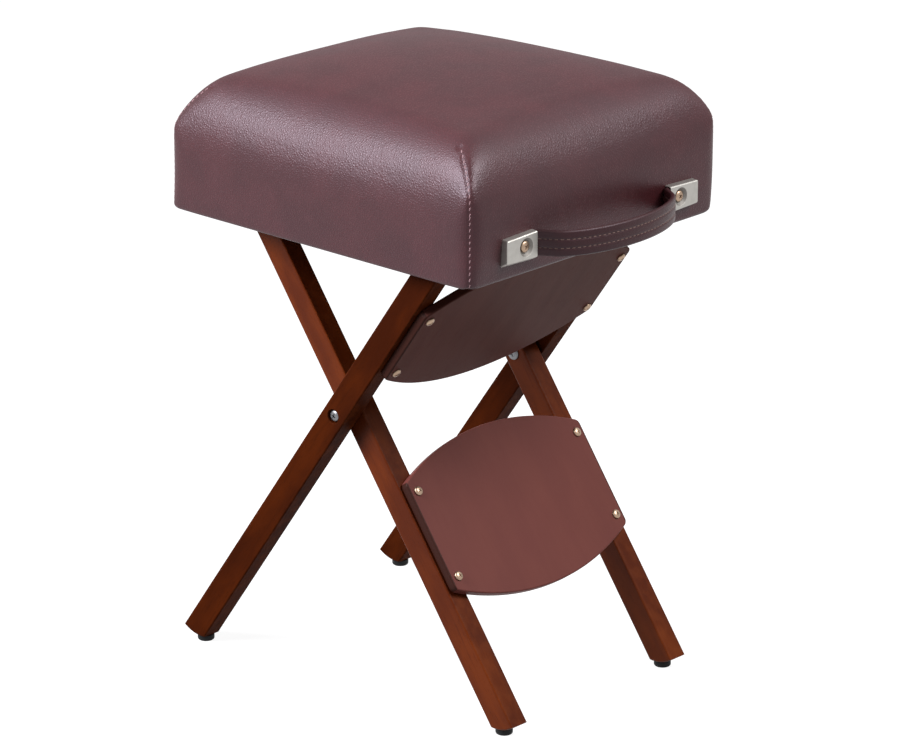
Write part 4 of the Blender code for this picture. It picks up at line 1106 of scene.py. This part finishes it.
sewAlong(threadStitch(strapStitch), strapPlaces, "strap_stitches", strapThread)
print("strap sewn,", len(strapPlaces), "stitches")

# Caps: pressed nickel, open at the back and at the strap's end, dished round the screw
dishBack = handle["proud"] - handle["dishDeep"] - handle["wall"]
nickel = platedMetal("satin_nickel", {
    "bright": tone(170, 167, 162), "dull": tone(150, 147, 142), "rough": 0.38, "rubbing": (1, 18, 1),
    "dish": (handle["offset"], handle["pitch"] / 2, face.z), "wall": (handle["dishFloor"], handle["dish"]),
    # painted shade for the wall of the dish
    "paintedDishShade": tone(70, 64, 62),
})
capScrewSizes = dict(plateScrew, radius=0.0056, height=0.0028, recess=0.52, roll=35)
for side, sign in sides.items():
    cap = startFrom(bpy.ops.mesh.primitive_cube_add, size=1)
    for point in cap.data.vertices:
        out = handle["proud"] if point.co.x > 0 else 0.0
        far = handle["capLength"] if point.co.y * sign > 0 else 0.0
        half = (handle["capHigh"] - handle["capTaper"] * far / handle["capLength"]) / 2
        flare = handle["flareTop"] if point.co.z > 0 else handle["flareLow"]
        up = math.copysign(half + flare * (1 - out / handle["proud"]), point.co.z)
        point.co = (out, sign * (far + mouth), up)
    openUp(cap)
    pick("FACE", lambda one: one.normal.x < -0.5 or one.normal.y * sign < -0.5)
    bpy.ops.mesh.delete(type="FACE")
    pick("EDGE", lambda edge: not edge.is_boundary)
    bpy.ops.mesh.bevel(offset=handle["round"], segments=5, affect="EDGES")
    faceOutward()
    putDown()
    applyStep(cap, "SOLIDIFY", thickness=handle["wall"], offset=-1, use_even_offset=True)
    atScrew = Matrix.Translation((0, sign * handle["pitch"] / 2, 0)) @ Matrix.Rotation(math.pi / 2, 4, "Y")
    rim, wall, bottom, top, lip = [handle[key] for key in ("dish", "wall", "dishFloor", "proud", "dishLip")]
    cupProfile = [(0, dishBack), (bottom + wall, dishBack)]
    cupProfile += [(rim + wall / 2, top - wall / 2), (0, top - wall / 2)]
    cup = turnOut(cupProfile, 48)
    settle(cup, atScrew)
    cut(cap, cup, "UNION")
    sunk = dishBack + wall
    dishProfile = [(0, sunk), (bottom - 0.0008, sunk), (bottom, sunk + 0.0004), (rim - lip, top - lip)]
    dishProfile += [(rim, top - lip / 4), (rim + lip, top + lip / 6)]
    dishProfile += [(rim + lip, top + wall), (0, top + wall)]
    dish = turnOut(dishProfile, 48)
    settle(dish, atScrew)
    cut(cap, dish)
    settle(cap, Matrix.Translation(face + Vector((fitGap, 0, 0))))
    smooth(cap, 30)
    finishPiece(cap, "pressed_cap_" + side, "seat", "nickel", nickel, "handle_cap_" + side)
    node = "handle_screw_" + side
    low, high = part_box(node)
    height = capScrewSizes["height"]
    capScrew = makeScrew(capScrewSizes, high.x - low.x - height)
    spot = Vector((high.x - height, (low.y + high.y) / 2, (low.z + high.z) / 2))
    settle(capScrew, pointing(spot, (1, 0, 0), math.radians(capScrewSizes["roll"] * sign)))
    finishPiece(capScrew, "handle_cross_screw_" + side, "seat", "plated_screw", brassy, node)
print("handle fitted")


# Wood and washers that stay as they were made
def dress(material, *names):
    for name in names:
        mesh = nodes[name].data
        mesh.materials.clear()
        mesh.materials.append(material)


dress(plyBoard, "seat_board")
dress(acrossPine, "handle_rail", "back_rail")
dress(alongPine, "side_rail_left", "side_rail_right", "runner_left", "runner_right")
dress(railWood, "top_rail")
dress(zinc, "top_rail_screw_left", "top_rail_screw_right", "hinge_washer_left", "hinge_washer_right")
dress(zinc, "pivot_washer_left", "pivot_washer_right")
print("hidden wood dressed")


# Floor and studio light
studio = {
    "world": 0.06, "floor": (tone(126, 126, 126), tone(130, 130, 130)), "floorSize": 16,
    "pale": (0.22, 0.22, 0.22, 1), "glow": 0.93,  # the floor as it is seen, with the stool's shadow on it
    "key_box": {"place": (-0.98, -1.88, 1.8), "size": (1.4, 1.25), "power": 140.0, "tint": (0.93, 0.94, 1.0)},
    "side_box": {"place": (1.5, 0.7, 2.3), "size": (1.2, 1.2), "power": 76.0, "tint": (1.0, 1.0, 1.0)},
}
floor = startFrom(bpy.ops.mesh.primitive_plane_add, size=studio["floorSize"], location=(-1.5, 1.5, 0))
floor.name = "studio_floor"
ground = Finish("floor_paper")
paper = ground.noise(ground.place(), 3.0, 2.0)
shade = ground.mix(paper, *studio["floor"])
plain = ground.node("ShaderNodeBsdfDiffuse", {}, {"Color": shade})
pale = ground.node("ShaderNodeBsdfDiffuse", {}, {"Color": studio["pale"]})
glow = ground.node("ShaderNodeEmission", {}, {"Color": (1, 1, 1, 1), "Strength": studio["glow"]})
lit = ground.node("ShaderNodeAddShader", {}, {0: pale, 1: glow})
shown = ground.node("ShaderNodeMixShader", {}, {0: ground.seen(), 1: plain, 2: lit})
ground.plug(ground.tree.nodes["Material Output"].inputs["Surface"], shown)
floor.data.materials.append(ground.material)

world = bpy.data.worlds.new("studio")
bpy.context.scene.world = world
sky = Sky(world)
white = sky.node("ShaderNodeBackground", {}, {"Color": (1, 1, 1, 1), "Strength": 1.0})
soft = sky.node("ShaderNodeBackground", {}, {"Color": (1.0, 0.99, 0.98, 1), "Strength": studio["world"]})
shown = sky.node("ShaderNodeMixShader", {}, {0: sky.seen(), 1: soft, 2: white})
sky.plug(sky.tree.nodes["World Output"].inputs["Surface"], shown)


def softbox(name):
    # an area lamp, aimed at the middle of the stool
    lamp = studio[name]
    box = startFrom(bpy.ops.object.light_add, type="AREA", location=lamp["place"])
    box.name = name
    box.rotation_euler = (Vector((0, 0, 0.5)) - Vector(lamp["place"])).to_track_quat("-Z", "Y").to_euler()
    box.data.shape = "RECTANGLE"
    box.data.size, box.data.size_y = lamp["size"]
    box.data.energy = lamp["power"]
    box.data.color = lamp["tint"]


softbox("key_box")
softbox("side_box")
print("studio lit")
